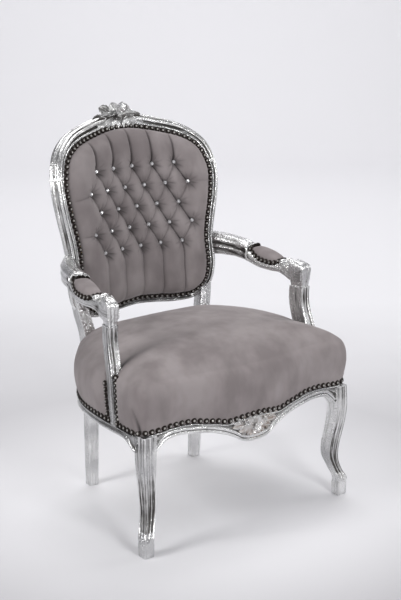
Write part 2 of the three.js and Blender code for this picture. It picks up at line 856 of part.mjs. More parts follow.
function padStations() {
  const first = padFirstSpan * armSpanSteps;
  const last = padLastSpan * armSpanSteps;
  const nearest = scrollStation().y + scrollRadius + nailRise + 2 * softGap;
  return armStations().slice(first, last + 1).map((station, i) => {
    const [rise, wide, drape] = padShares[i];
    const edge = station.top + fitGap - drape * (station.top - station.bottom);
    const y = Math.max(station.y, nearest);
    return { ...station, y, crown: station.top + rise * padRise, wide: (wide * padWidth) / 2, edge };
  });
}

function padSolid() {
  const rings = padStations().map(({ x, y, crown, wide, edge }) =>
    padTopShares.map(([a, h]) => new THREE.Vector3(x + a * wide, y, mix(edge, crown, h))),
  );
  return loftSolid(rings).subtract(armCutter());
}

// The arm, a little oversize, to cut what is fitted on it.
function armCutter() {
  return loftSolid(armStations().map((station) => armRing(station, fitGap))).add(armScroll(fitGap));
}

// A row of nails along a line of places, each with the directions across the row and away from the cover.
function nailRow(places, loop = false) {
  const rings = places.map(({ at, across, out, share = 1 }) => {
    const half = (share * nailWidth) / 2;
    return [
      at.clone().addScaledVector(across, -half),
      at.clone().addScaledVector(across, -half * 0.6).addScaledVector(out, nailRise * 0.8 * share),
      at.clone().addScaledVector(across, half * 0.6).addScaledVector(out, nailRise * 0.8 * share),
      at.clone().addScaledVector(across, half),
    ];
  });
  return loftSolid(rings, loop);
}

function padNailRow() {
  const stations = padStations();
  const up = new THREE.Vector3(0, 0, 1);
  const side = (sign) =>
    stations.map(({ x, y, wide, edge }, i) => {
      const end = i === 0 ? 1 : i === stations.length - 1 ? -1 : 0;
      const out = new THREE.Vector3(sign, end * 0.8, 0).normalize();
      const at = new THREE.Vector3(x + sign * wide, y, edge + nailWidth / 2);
      return { at: at.addScaledVector(out, softGap), across: up, out };
    });
  return nailRow([...side(1), ...side(-1).reverse()], true).subtract(armCutter());
}

function seatNailPlaces(from, to) {
  const up = new THREE.Vector3(0, 0, 1);
  return evenStations(from, to, 1).map((u) => {
    const height = mouldingTopHeight + softGap + nailWidth / 2;
    const at = seatPoint(u, fitGap, height);
    const out = seatPoint(u, 1, height).sub(seatPoint(u, 0, height));
    return { at, across: up, out };
  });
}

function backNailRing(depth, sign) {
  const places = Array.from({ length: backLoop.count }, (_, u) => {
    const at = framePoint(u, 0, depth);
    const across = framePoint(u, 1, depth).sub(at);
    const out = framePoint(u, 0, depth + sign).sub(at);
    return { at, across, out };
  });
  return nailRow(places, true);
}

// Seat cushion
// Wall of the cushion: shares of the bulge and of the height from the nail line to the seat edge.
const seatWallShares = [
  [-0.04, 0.05],
  [0.55, 0.17],
  [0.92, 0.37],
  [1, 0.57],
  [0.7, 0.76],
  [-0.1, 0.91],
  [-1.2, 1],
];
// Top of the cushion: shares of the way to the middle and of the rise to the crown.
const seatTopShares = [
  [0.06, 0.26],
  [0.18, 0.54],
  [0.38, 0.79],
  [0.62, 0.94],
  [0.85, 0.99],
];
const seatOvalShare = 0.94; // size of the oval that the outline turns into towards the middle
const backBulgeShare = 0.2; // what is left of the bulge between the back posts

// How far the cushion's wall stands out from the seat outline, drawn in at the supports and between the posts.
function seatWallOut(u, z, bulgeShare) {
  const { y } = seatStations[u];
  const towardsBack = THREE.MathUtils.smoothstep(y, postSeatY - 2.5 * overrun, postSeatY);
  const bulge = bulgeShare * seatBulge * mix(1, backBulgeShare, towardsBack);
  const rise = (z - mouldingTopHeight) / (armJointHeight - mouldingTopHeight);
  const fromSupport = Math.abs(y - mix(supportFootY, supportTopY, rise));
  const drawn = 1 - THREE.MathUtils.smoothstep(fromSupport, supportDepth * 0.6, supportDepth * 1.5);
  return bulgeShare > 0 ? mix(bulge, -softGap, drawn) : bulge;
}

function seatCushionSolid(cutters) {
  const skirtLow = mouldingTopHeight + softGap;
  const wallLow = skirtLow + nailWidth / 2;
  const wallHigh = railTopHeight + seatEdgeRise;
  const crown = railTopHeight + seatCrownRise;
  const underside = railTopHeight + webbingThickness + 2 * fitGap;
  const count = seatStations.length;
  const corner = 4.5 * seatSpanSteps;
  const pleatAt = (u) => Math.max(0, 1 - Math.abs(Math.min(u, count - u) - corner));
  const ring = (out, z) => seatStations.map((_, u) => seatPoint(u, out, z));
  const wall = seatWallShares.map(([bulge, h], k) => {
    const z = mix(wallLow, wallHigh, h);
    const pull = k > 0 && k < seatWallShares.length - 1 ? pleatPull : 0;
    return seatStations.map((_, u) => seatPoint(u, seatWallOut(u, z, bulge) - pull * pleatAt(u), z));
  });
  const top = seatTopShares.map(([inward, rise]) =>
    wall.at(-1).map((place) => {
      const spoke = place.clone().setZ(0);
      const [a, b] = [(2 * spoke.x) / seatWidth, (2 * spoke.y) / seatDepth];
      const oval = spoke.clone().multiplyScalar(seatOvalShare / Math.hypot(a, b));
      return spoke.lerp(oval, inward).multiplyScalar(1 - inward).setZ(mix(wallHigh, crown, rise));
    }),
  );
  const inner = -railSetback + softGap;
  const rings = [ring(inner, underside), ring(inner, skirtLow), ring(-softGap, skirtLow), ...wall, ...top];
  return cutBy(poled(rings, new THREE.Vector3(0, 0, underside), new THREE.Vector3(0, 0, crown)), cutters);
}

// A solid through rings that closes on a point at each end.
function poled(rings, first, last) {
  const size = rings[0].length;
  const points = [...rings.flat(), first, last];
  const triangles = [];
  for (let r = 0; r + 1 < rings.length; r++)
    for (let i = 0; i < size; i++) {
      const [a, b] = [r * size + i, r * size + ((i + 1) % size)];
      triangles.push([a, b, b + size], [a, b + size, a + size]);
    }
  const end = (rings.length - 1) * size;
  for (let i = 0; i < size; i++) {
    const j = (i + 1) % size;
    triangles.push([points.length - 2, j, i], [points.length - 1, end + i, end + j]);
  }
  return toSolid(closedGeometry(points, triangles));
}

function webbingSolid(cutters) {
  const low = railTopHeight + fitGap;
  const z = low + webbingThickness / 2;
  const straps = [];
  for (const k of [-1, 0, 1]) {
    straps.push(boxSolid(webbingWidth, seatDepth, webbingThickness, k * webbingPitchShare * seatWidth, 0, z));
  }
  for (const k of [-1.5, -0.5, 0.5, 1.5]) {
    straps.push(boxSolid(seatWidth, webbingWidth, webbingThickness, 0, k * webbingRowShare * seatDepth, z));
  }
  const trimmed = joined(straps).intersect(seatPrism(-webbingInset, low - overrun, low + overrun));
  return cutBy(trimmed, cutters);
}

function dustCoverSolid(cutters) {
  const low = railLowHeight + dustCoverInset;
  return cutBy(seatPrism(-railThickness - fitGap, low, low + dustCoverThickness), cutters);
}

// A block glued into a corner of the seat frame, cut off square to the corner's diagonal.
function cornerBlockSolid(x, y, reach, cutters) {
  const high = railTopHeight - 2 * fitGap;
  const box = new THREE.BoxGeometry(reach * 2, reach * 2, cornerBlockHeight);
  box.rotateZ(Math.PI / 4).translate(x, y, high - cornerBlockHeight / 2);
  const inside = seatPrism(-railThickness - fitGap, high - cornerBlockHeight, high);
  return cutBy(toSolid(box).intersect(inside), cutters);
}

// Buttons of the tufted back: rows of five and six by turns.
function buttonPlaces() {
  const places = [];
  for (let row = 0; row < 5; row++) {
    const count = row % 2 ? 6 : 5;
    for (let k = 0; k < count; k++) {
      places.push({
        row,
        k,
        x: (k - (count - 1) / 2) * buttonPitch,
        z: buttonMiddleHeight + (2 - row) * buttonRowStep,
        first: k === 0,
        last: k === count - 1,
      });
    }
  }
  return places;
}

// Pleats: from each button to its neighbours in the next row, up and down to the frame, and out to the sides.
function pleatLines() {
  const lines = [];
  const far = backWidth;
  const spots = buttonPlaces();
  for (const { row, x, z, first, last } of spots) {
    for (const next of spots)
      if (next.row === row + 1 && Math.abs(next.x - x) < buttonPitch * 0.75) lines.push([x, z, next.x, next.z]);
    if (row === 0) lines.push([x, z, x, z + far]);
    if (row === 4) lines.push([x, z, x, z - far]);
    if (row % 2 && (first || last)) lines.push([x, z, x + Math.sign(x) * far, z]);
  }
  return lines;
}

function distanceToLine(x, z, [x1, z1, x2, z2]) {
  const [dx, dz] = [x2 - x1, z2 - z1];
  const t = THREE.MathUtils.clamp(((x - x1) * dx + (z - z1) * dz) / (dx * dx + dz * dz), 0, 1);
  return Math.hypot(x - x1 - t * dx, z - z1 - t * dz);
}

// Distance inside the nail line, less than zero outside it.
function insideDistance(x, z) {
  const ring = Array.from({ length: backLoop.count }, (_, i) => backLoop.curve.getPoint(i / backLoop.count));
  let [nearest, inside] = [Infinity, false];
  ring.forEach((a, i) => {
    const b = ring[(i + 1) % ring.length];
    nearest = Math.min(nearest, distanceToLine(x, z, [a.x, a.z, b.x, b.z]));
    if (a.z > z !== b.z > z && x < a.x + ((z - a.z) / (b.z - a.z)) * (b.x - a.x)) inside = !inside;
  });
  return inside ? nearest : -nearest;
}

// Height of the cushion in front of the nail plane.
function cushionRise(x, z, spots, lines) {
  const base = coverRebate - layerGap - coverThickness;
  const reach = THREE.MathUtils.clamp((insideDistance(x, z) - nailWidth / 4) / backEdgeRoll, 0, 1);
  const roll = (1 - (1 - reach) ** 2.2) ** (1 / 2.2);
  const crease = (line) => Math.exp(-((distanceToLine(x, z, line) / pleatHalfWidth) ** 2));
  const fold = Math.max(...lines.map(crease));
  const dimple = Math.max(
    ...spots.map((spot) => Math.exp(-((Math.hypot(x - spot.x, z - spot.z) / dimpleHalfWidth) ** 2))),
  );
  const drop = Math.max(pleatDepth * fold, (backPuff - buttonSeat) * dimple);
  return (backPuff - drop) * roll - base;
}

// A slab with one bent face on a net of triangles and a plain far side.
function bentSlab(depthAt, farDepth, columns, rows, stepX, stepZ) {
  const points = [];
  const width = columns * 2 + 1;
  for (const far of [false, true])
    for (let r = -rows; r <= rows; r++)
      for (let c = -columns; c <= columns; c++) {
        const x = (c + (Math.abs(r) % 2 ? 0.5 : 0)) * stepX;
        const z = buttonMiddleHeight + r * stepZ;
        points.push(onBack(x, z, far ? farDepth : depthAt(x, z)));
      }
  const layer = width * (rows * 2 + 1);
  const triangles = [];
  const border = [];
  for (let r = 0; r < rows * 2; r++)
    for (let c = 0; c < width - 1; c++) {
      const [a, b, d, e] = [r * width + c, r * width + c + 1, (r + 1) * width + c, (r + 1) * width + c + 1];
      const shifted = Math.abs(r - rows) % 2 === 1;
      const faces = shifted ? [[a, b, e], [a, e, d]] : [[a, b, d], [b, e, d]];
      for (const [i, j, k] of faces) triangles.push([i, j, k], [layer + i, layer + k, layer + j]);
    }
  for (let c = 0; c < width; c++) border.push(c);
  for (let r = 1; r <= rows * 2; r++) border.push(r * width + width - 1);
  for (let c = width - 2; c >= 0; c--) border.push(rows * 2 * width + c);
  for (let r = rows * 2 - 1; r > 0; r--) border.push(r * width);
  border.forEach((i, k) => {
    const j = border[(k + 1) % border.length];
    triangles.push([i, layer + i, j], [j, layer + i, layer + j]);
  });
  return toSolid(closedGeometry(points, triangles));
}

const coarse = { x: buttonPitch / 2, z: buttonRowStep };
const netColumns = Math.ceil((backWidth * 0.62) / coarse.x);
const netRows = Math.ceil((backOpeningHeight * 0.62) / coarse.z);
const coarseSlab = (depth, far) => bentSlab(() => depth, far, netColumns, netRows, coarse.x, coarse.z);

function backCushionSolid() {
  const spots = buttonPlaces();
  const lines = pleatLines();
  const [stepX, stepZ] = [buttonPitch / netParts, buttonRowStep / netParts];
  const [columns, rows] = [Math.ceil(netColumns * coarse.x / stepX), Math.ceil(netRows * coarse.z / stepZ)];
  const front = bentSlab((x, z) => -cushionRise(x, z, spots, lines), overrun, columns, rows, stepX, stepZ);
  const floor = coverRebate - layerGap;
  const rear = coarseSlab(floor - coverThickness / 2, -2 * overrun);
  const pad = front.intersect(rear).intersect(backPrism(-nailWidth / 2 - layerGap, 2));
  const section = [
    [-coverLap, floor - coverThickness],
    [coverEdge, floor - coverThickness],
    [coverEdge, floor],
    [-coverLap, floor],
  ];
  const stations = Array.from({ length: backLoop.count / 2 }, (_, i) => i * 2);
  const flange = stations.map((u) => section.map(([n, d]) => framePoint(u, n, d)));
  return pad.add(loftSolid(flange, true));
}

// A cut crystal button, standing square to the back on its pointed base.
function buttonSolid({ x, z }) {
  const half = buttonWidth / 2;
  const seat = -buttonSeat - fitGap;
  const [girdle, tip] = [seat - buttonHeight * 0.8, seat - buttonHeight * 1.3];
  const ring = (radius, depth) =>
    Array.from({ length: buttonSides }, (_, i) => {
      const turn = (i / buttonSides) * 2 * Math.PI;
      const middle = onBack(x, z, depth);
      const right = onBack(x + 1, z, depth).sub(middle);
      const up = onBack(x, z + 1, depth).sub(middle);
      middle.addScaledVector(right, radius * Math.cos(turn));
      return middle.addScaledVector(up, radius * Math.sin(turn));
    });
  return poled([ring(half, girdle), ring(half * 0.55, tip)], onBack(x, z, seat), onBack(x, z, tip));
}

// Carvings
function petal(length, width, thick, turn, tilt, reach) {
  const ball = new THREE.IcosahedronGeometry(1, carvingDetail).scale(width / 2, thick / 2, length / 2);
  return ball.translate(0, 0, reach).rotateX(tilt).rotateY(turn);
}

// A flower of round petals about a middle boss, facing -Y, with its middle at the origin.
function flower(span, petals, depth) {
  const parts = [new THREE.IcosahedronGeometry(span * 0.15, carvingDetail).translate(0, -depth * 0.3, 0)];
  for (let i = 0; i < petals; i++) {
    const turn = (i / petals) * 2 * Math.PI;
    parts.push(petal(span * 0.5, span * 0.42, depth * 0.8, turn, 0, span * 0.25));
  }
  return parts;
}

function leaf(length, width, thick, turn, x, z) {
  return petal(length, width, thick, turn, 0, length * 0.4).translate(x, 0, z);
}

function placed(parts, toWorld) {
  return joined(
    parts.map((part) => {
      const moved = part.clone();
      const place = moved.attributes.position;
      for (let i = 0; i < place.count; i++) {
        const point = toWorld(place.getX(i), place.getY(i), place.getZ(i));
        place.setXYZ(i, point.x, point.y, point.z);
      }
      return toSolid(moved);
    }),
  );
}

function crestCarvingSolid() {
  const span = crestCarvingWidth * 0.48;
  const middle = backBottomHeight + backOpeningHeight + crestCarvingRise - span * 0.48;
  const depth = crestCarvingDepth;
  const parts = flower(span, 6, depth);
  const leafShares = [
    [0.32, 0.3, 0.7, 1.5, 0.3, -0.16],
    [0.28, 0.24, 0.6, 1.9, 0.5, -0.26],
    [0.2, 0.24, 0.6, 2.6, 0.12, -0.3],
  ];
  for (const side of [-1, 1])
    for (const [long, wide, thick, turn, x, z] of leafShares) {
      const size = [long * crestCarvingWidth, wide * span, thick * depth];
      parts.push(leaf(...size, side * turn, side * x * span, z * span));
    }
  const carving = placed(parts, (x, y, z) => onBack(x, middle + z, y + frameThickness * 0.3));
  return carving.subtract(backPrism(coverRebateEdge));
}

function apronCarvingSolid() {
  const high = mouldingTopHeight - railLowHeight + frontRailDrop;
  const depth = apronCarvingDepth;
  const middle = mouldingTopHeight - high * 0.5;
  const parts = flower(high * 0.62, 6, depth);
  for (const side of [-1, 1]) {
    const small = flower(high * 0.4, 5, depth * 0.8);
    parts.push(...small.map((part) => part.translate(side * high * 0.48, 0, high * 0.16)));
    const tip = [apronCarvingWidth * 0.24, high * 0.22, depth * 0.6];
    const tail = [high * 0.42, high * 0.24, depth * 0.6];
    parts.push(leaf(...tip, side * 1.5, side * high * 0.62, high * 0.22));
    parts.push(leaf(...tail, side * 2.5, side * high * 0.12, -high * 0.16));
  }
  const frontY = -seatDepth / 2;
  return placed(parts, (x, y, z) => new THREE.Vector3(x, frontY + y, middle + z));
}

// Materials
const colour = (hex, roughness, metalness) =>
  new THREE.MeshStandardMaterial({ color: hex, roughness, metalness });
const silverLeaf = () => colour(0xc9cbcc, 0.34, 0.85);
const velvet = () => colour(0x8c8484, 0.95, 0);
const bronze = () => colour(0x54483c, 0.4, 0.9);
const crystal = () => colour(0xeceff2, 0.08, 0.1);
const bareWood = () => colour(0xa88a66, 0.8, 0);
const jute = () => colour(0xb39b73, 0.95, 0);
const blackCloth = () => colour(0x222222, 0.95, 0);

const chair = new THREE.Group();

// The largest body of a cut solid, without crumbs or sealed hollows.
function mainBody(solid) {
  return solid.decompose().reduce((best, body) => (body.volume() > best.volume() ? body : best));
}

function addPiece(name, solid, material) {
  const mesh = new THREE.Mesh(toGeometry(mainBody(solid)).toNonIndexed(), material);
  mesh.geometry.computeVertexNormals();
  mesh.name = name;
  chair.add(mesh);
}

function addPair(name, solid, material) {
  addPiece(`${name}_right`, solid, material());
  addPiece(`${name}_left`, mirrored(solid), material());
}

const bothSides = (solid) => [solid, mirrored(solid)];

// Wooden frame
const legCutters = bothSides(frontLegSolid(fitGap));
const postCutters = bothSides(postSolid(fitGap));
const supportCutters = bothSides(supportSolid(fitGap));
const half = seatStations.length / 2;
const frontRailStation = frontRailEndShare * seatSpanSteps;
const sideRailStation = sideRailStartShare * seatSpanSteps;
const postStation = seatStationAt(postSeatY);

addPair("front_leg", frontLegSolid(), silverLeaf);
addPair("back_post", backPostSolid(), silverLeaf);

const frontRail = railStretch(evenStations(-frontRailStation, frontRailStation, 2), frontRailSection);
const headGap = legHeadWidth + 2 * fitGap;
const betweenHeads = boxSolid(2 * frontFootX - headGap, seatWidth, railTopHeight * 2, 0, 0, railTopHeight);
const trimmedFront = cutBy(frontRail.intersect(betweenHeads), legCutters);
addPiece("front_rail", trimmedFront.add(apronCarvingSolid()), silverLeaf());

const sideStations = [...evenStations(sideRailStation, Math.floor(postStation), 1), postStation];
const sideRail = railStretch(sideStations, sideRailSection);
const behindHeadY = frontFootY + headGap / 2 + seatDepth / 2;
const behindHead = boxSolid(seatWidth * 2, seatDepth, railTopHeight * 2, 0, behindHeadY, railTopHeight);
const sideCutters = [legCutters[0], postCutters[0], supportCutters[0]];
addPair("side_rail", cutBy(sideRail.intersect(behindHead), sideCutters), silverLeaf);

const backRailHalf = postSeatX - postWidth / 2 - fitGap;
const backStations = evenStations(half - 2 * seatSpanSteps, half + 2 * seatSpanSteps, 1);
const backRail = railStretch(backStations, sideRailSection);
const betweenPosts = boxSolid(backRailHalf * 2, seatDepth, railTopHeight * 2, 0, postSeatY, railTopHeight);
addPiece("back_rail", cutBy(backRail.intersect(betweenPosts), postCutters), bareWood());

const frontBlock = [frontFootX - legHeadWidth / 2, frontFootY + legHeadWidth / 2];
addPair("front_corner_block", cornerBlockSolid(...frontBlock, cornerBlockLength, legCutters), bareWood);
const rearBlock = [postSeatX, postSeatY - postWidth / 2];
addPair("rear_corner_block", cornerBlockSolid(...rearBlock, cornerBlockLength, postCutters), bareWood);

addPiece("crest_rail", frameStretch(-crestJoint, crestJoint).add(crestCarvingSolid()), silverLeaf());
addPiece("lower_back_rail", frameStretch(lowerJoint, backLoop.count - lowerJoint), silverLeaf());
addPair("arm", armSolid(), silverLeaf);
addPair("arm_support", supportSolid(), silverLeaf);

// Upholstery
const notches = [...bothSides(postSolid(fitGap, overrun)), ...bothSides(supportSolid(fitGap, overrun))];
addPiece("seat_cushion", seatCushionSolid(notches), velvet());
addPiece("seat_webbing", webbingSolid([...postCutters, ...supportCutters]), jute());
addPiece("dust_cover", dustCoverSolid([...legCutters, ...postCutters]), blackCloth());
addPiece("back_cushion", backCushionSolid(), velvet());
const clothSheet = bentSheet(-clothRebateEdge - layerGap, coverRebate - layerGap + sheetGap, clothThickness);
addPiece("back_cloth", clothSheet, jute());
const panelFloor = frameThickness - coverRebate + sheetGap;
addPiece("outside_back_panel", bentSheet(-coverRebateEdge - layerGap, panelFloor, panelThickness), velvet());
addPair("arm_pad", padSolid(), velvet);
for (const spot of buttonPlaces()) {
  addPiece(`tuft_button_${spot.row + 1}_${spot.k + 1}`, buttonSolid(spot), crystal());
}

// Nail rows
const coverFace = coverRebate - layerGap - coverThickness - nailGap;
addPiece("back_nail_row", backNailRing(coverFace, -1), bronze());
const supportStation = seatStationAt(supportFootY);
const frontRowEnd = Math.floor(seatStationAt(supportFootY - supportDepth / 2 - nailWidth));
addPiece("front_nail_row", nailRow(seatNailPlaces(-frontRowEnd, frontRowEnd)), bronze());
const sideRowStart = Math.ceil(supportStation + 0.25);
const sideRowEnd = Math.floor(seatStationAt(postSeatY - postWidth));
addPair("side_nail_row", nailRow(seatNailPlaces(sideRowStart, sideRowEnd)), bronze);
addPair("arm_pad_nail_row", padNailRow(), bronze);

// The origin is on the floor, in the middle of the chair's box.
const box = new THREE.Box3().setFromObject(chair);
const centre = box.getCenter(new THREE.Vector3());
chair.position.set(-centre.x, -centre.y, -box.min.z);

export default chair;
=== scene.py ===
"""A carved and silvered armchair with a tufted back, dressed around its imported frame.

Sizes are in millimetres, as on the maker's drawing, and MM turns them into metres where a mesh is made.
Places are measured from the floor and from the middle of the seat; the chair faces -Y.
"""

import math
import random

import bpy
import numpy as np
from mathutils import Matrix, Vector, noise


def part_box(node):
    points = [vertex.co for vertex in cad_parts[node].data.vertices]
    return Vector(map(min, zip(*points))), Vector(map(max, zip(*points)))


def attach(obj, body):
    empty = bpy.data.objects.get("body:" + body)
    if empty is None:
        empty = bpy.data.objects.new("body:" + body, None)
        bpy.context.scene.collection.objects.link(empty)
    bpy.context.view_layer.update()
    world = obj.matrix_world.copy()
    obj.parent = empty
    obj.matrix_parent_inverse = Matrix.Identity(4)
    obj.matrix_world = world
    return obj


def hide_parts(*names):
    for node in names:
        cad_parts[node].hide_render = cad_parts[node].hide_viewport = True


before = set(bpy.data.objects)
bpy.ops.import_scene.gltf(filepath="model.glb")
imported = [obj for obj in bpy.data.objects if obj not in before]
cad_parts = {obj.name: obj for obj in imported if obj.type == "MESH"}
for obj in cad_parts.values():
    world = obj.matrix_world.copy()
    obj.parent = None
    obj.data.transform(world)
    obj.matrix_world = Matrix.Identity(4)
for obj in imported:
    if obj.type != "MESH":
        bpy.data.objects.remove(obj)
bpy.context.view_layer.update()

MM = 0.001

# Seat frame
SEAT_WIDTH = 660
SEAT_DEPTH = 483
RAIL_TOP = 345
SIDE_RAIL_DEPTH = 59
MOULDING_DEPTH = 20
RAIL_THICKNESS = 28
RAIL_SETBACK = 6
FRONT_RAIL_DROP = 52
RAIL_LOW = RAIL_TOP - SIDE_RAIL_DEPTH
MOULDING_TOP = RAIL_LOW + MOULDING_DEPTH

# Front legs
FOOT_INSET = 17.5
FOOT_SETBACK = 29
FOOT_BLOCK = 28.5
FOOT_BLOCK_HEIGHT = 37
KNEE_WIDTH = 58
LEG_HEAD = 52
KNEE_DIP = 24
TOE_RADIUS = 7.5
TOE_WIDTH = 8
TOE_RISE = 7
LEG_HEIGHT = RAIL_LOW + 0.97 * MOULDING_DEPTH
FOOT_X = SEAT_WIDTH / 2 - FOOT_INSET
FOOT_Y = FOOT_SETBACK - SEAT_DEPTH / 2

# Back posts
POST_WIDTH = 34
POST_INSET = 26
POST_SETBACK = 15
BACK_FOOT_TUCK = 9
BACK_FOOT_RAKE = 23
SEAT_BACK_SHARE = 0.975
POST_SEAT_Y = SEAT_DEPTH / 2 * SEAT_BACK_SHARE - POST_SETBACK

# Back frame, measured along the nail line
BACK_WIDTH = 460
BACK_LIFT = 148
BACK_HEIGHT = 453
BACK_SETBACK = 30
RECLINE = math.tan(math.radians(8.2))
BACK_SAG = 45
BACK_SAG_HALF_WIDTH = 200
BACK_ROLL = 8.5
BACK_ROLL_HEIGHT = 0.415 * BACK_HEIGHT
FRAME_THICKNESS = 32
FRAME_OUTER = 20
FRAME_INNER = 22
CREST_FLARE = 15
COVER_REBATE = 3
COVER_REBATE_EDGE = 6
CLOTH_REBATE = 8
POST_LAP = 67
BACK_LOW = RAIL_TOP + BACK_LIFT
BACK_MIDDLE = BACK_LOW + BACK_HEIGHT / 2
BACK_ROLL_MIDDLE = BACK_LOW + BACK_ROLL_HEIGHT
POST_JOIN = BACK_LOW + POST_LAP

# Tufting
BUTTON_PITCH = 65.8
BUTTON_ROW_STEP = 51.6
BUTTON_MIDDLE = BACK_MIDDLE + 19
BUTTON_SEAT = 26
BACK_PUFF = 43
BACK_EDGE_ROLL = 44
BACK_EDGE_POWER = 2.3
PLEAT_DEPTH = 10
PLEAT_DEPTH_AT_BUTTON = 5.5
PLEAT_STEP = 2.2
COVER_FLANGE = 5.2
COVER_STAND = 1.4
BUTTON_WIDTH = 11

# Seat cushion
SEAT_CROWN = RAIL_TOP + 146
SEAT_EDGE = RAIL_TOP + 85
SEAT_BULGE = 10

# Arms and supports
ARM_HEIGHT = BACK_LOW + 97
ARM_DEPTH = 50
ARM_WIDTH = 34
ARM_INSET = 28
ARM_ROOT_LENGTH = 20
ARM_OVERHANG = 18
ARM_FLUTES = 7
ARM_FLUTE = 1.9
ARM_LIP = 2.2
ARM_JOINT = ARM_HEIGHT - 0.98 * ARM_DEPTH
SCROLL_RADIUS = 10
SUPPORT_WIDTH = 31
SUPPORT_DEPTH = 42
SUPPORT_INSET = 8
SUPPORT_TURN = 0.24
SUPPORT_FOOT_Y = 141 - SEAT_DEPTH / 2
SUPPORT_TOP_Y = SUPPORT_FOOT_Y + 43
SUPPORT_TOP_INSET = 30
SUPPORT_TOP_X = SEAT_WIDTH / 2 - SUPPORT_TOP_INSET
PAD_RISE = 15
PAD_WIDTH = 51

# Nails
NAIL_WIDTH = 15.2
BACK_NAIL_PITCH = 15.6
SEAT_NAIL_PITCH = 17.2
PAD_NAIL_PITCH = 12.8
SUPPORT_NAIL_PITCH = 13.4
SUPPORT_NAILS_FRONT = 112
SUPPORT_NAILS_REAR = 84
NAIL_DOME = 4.4
NAIL_SIDES = 10
BACK_NAIL_STAND = 2.6
BACK_NAIL_LEAN = 0.25

# Carving
CREST_CARVING_WIDTH = 142
CREST_CARVING_DEPTH = 24
APRON_CARVING_DEPTH = 15

# The seat's middle in the frame's own axes
SEAT_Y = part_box("front_leg_right")[1].y / MM - (FOOT_Y + LEG_HEAD / 2)


# Curves and tables

def smooth_rows(rows, per_span):
    """A table read smoothly at even steps between its rows."""
    rows = np.asarray(rows, float)
    last = len(rows) - 1
    places = np.linspace(0, last, last * per_span + 1)
    low = np.minimum(places.astype(int), last - 1)
    t = (places - low)[:, None]
    a, b, c, d = (rows[np.clip(low + k, 0, last)] for k in (-1, 0, 1, 2))
    return b + 0.5 * ((c - a) * t + (2 * a - 5 * b + 4 * c - d) * t ** 2 + (3 * b - a - 3 * c + d) * t ** 3)


def smooth_step(value, low, high):
    t = np.clip((np.asarray(value, float) - low) / (high - low), 0, 1)
    return t * t * (3 - 2 * t)


def mix(a, b, t):
    return a + (b - a) * t


def distances(points):
    """How far each point of a line is from its start, measured along the line."""
    return np.concatenate([[0], np.cumsum(np.linalg.norm(np.diff(points, axis=0), axis=1))])


class OutlineCurve:
    """A closed curve through half an outline and its mirror image."""

    def __init__(self, half):
        half = np.asarray(half, float)
        left = half[1:-1][::-1] * (-1, 1)
        self.points = np.vstack([half, left])
        self.count = len(self.points)
        self.turn = 1 if half[0, 1] < half[-1, 1] else -1

    def at(self, s):
        s = np.atleast_1d(np.asarray(s, float)) % self.count
        k = np.floor(s).astype(int)
        t = (s - k)[:, None]
        a, b, c, d = (self.points[(k + i) % self.count] for i in (-1, 0, 1, 2))
        ab, bc, cd = (np.sqrt(np.linalg.norm(q - p, axis=1))[:, None] for p, q in ((a, b), (b, c), (c, d)))
        start = ((b - a) / ab - (c - a) / (ab + bc) + (c - b) / bc) * bc
        end = ((c - b) / bc - (d - b) / (bc + cd) + (d - c) / cd) * bc
        return b + start * t + (3 * (c - b) - 2 * start - end) * t ** 2 + (2 * (b - c) + start + end) * t ** 3

    def out(self, s):
        """Unit normals away from the middle."""
        along = self.at(np.asarray(s) + 1e-3) - self.at(np.asarray(s) - 1e-3)
        along /= np.linalg.norm(along, axis=1)[:, None]
        return np.stack([along[:, 1], -along[:, 0]], 1) * self.turn


def moulding(start, *steps):
    """Points of a moulded face: flats, beads and hollows in turn, each with its run and its rise."""
    points = [np.array(start, float)]
    for kind, run, rise in steps:
        base = points[-1]
        if kind == "flat":
            points.append(base + (run, rise))
            continue
        for i in range(1, 9):
            a = math.pi * i / 8
            if kind == "round":
                points.append(base + (run * math.sin(a / 2), rise * (1 - math.cos(a / 2))))
            elif kind == "swell":
                points.append(base + (run * (1 - math.cos(a)) / 2, rise * math.sin(a)))
            elif kind == "side":
                points.append(base + (run * math.sin(a), rise * (1 - math.cos(a)) / 2))
    return np.array(points)


# Meshes

class Shape:
    """Vertices in millimetres with faces, which join into larger shapes."""

    def __init__(self, vertices=(), faces=(), run=None):
        self.vertices = np.asarray(vertices, float).reshape(-1, 3)
        self.faces = list(faces)
        self.run = np.zeros((len(self.vertices), 3)) if run is None else run

    def __add__(self, other):
        shift = len(self.vertices)
        faces = self.faces + [tuple(i + shift for i in face) for face in other.faces]
        return Shape(np.vstack([self.vertices, other.vertices]), faces, np.vstack([self.run, other.run]))

    def mirrored(self):
        return Shape(self.vertices * (-1, 1, 1), [face[::-1] for face in self.faces], self.run)

    def moved(self, place):
        return Shape(place(self.vertices), self.faces, self.run)


def loft(rings):
    """A closed shape through rings of points, with the run along it and round it kept for the grain."""
    rings = np.asarray(rings, float)
    count, size = rings.shape[:2]
    along, around = distances(rings.mean(1)), distances(rings[count // 2])
    run = np.stack(np.broadcast_arrays(along[:, None], around[None, :], 0.0), -1).reshape(-1, 3)
    faces = []
    for r in range(count - 1):
        near, far = r * size, (r + 1) * size
        faces += [(near + i, near + (i + 1) % size, far + (i + 1) % size, far + i) for i in range(size)]
    faces.append(tuple(range(size))[::-1])
    faces.append(tuple((count - 1) * size + i for i in range(size)))
    return outward(Shape(rings.reshape(-1, 3), faces, run))


def signed_volume(shape):
    total = 0.0
    points = shape.vertices
    for face in shape.faces:
        a = points[face[0]]
        for b, c in zip(face[1:-1], face[2:]):
            total += a @ np.cross(points[b], points[c])
    return total


def outward(shape):
    """The shape with its faces turned out."""
    if signed_volume(shape) >= 0:
        return shape
    return Shape(shape.vertices, [face[::-1] for face in shape.faces], shape.run)


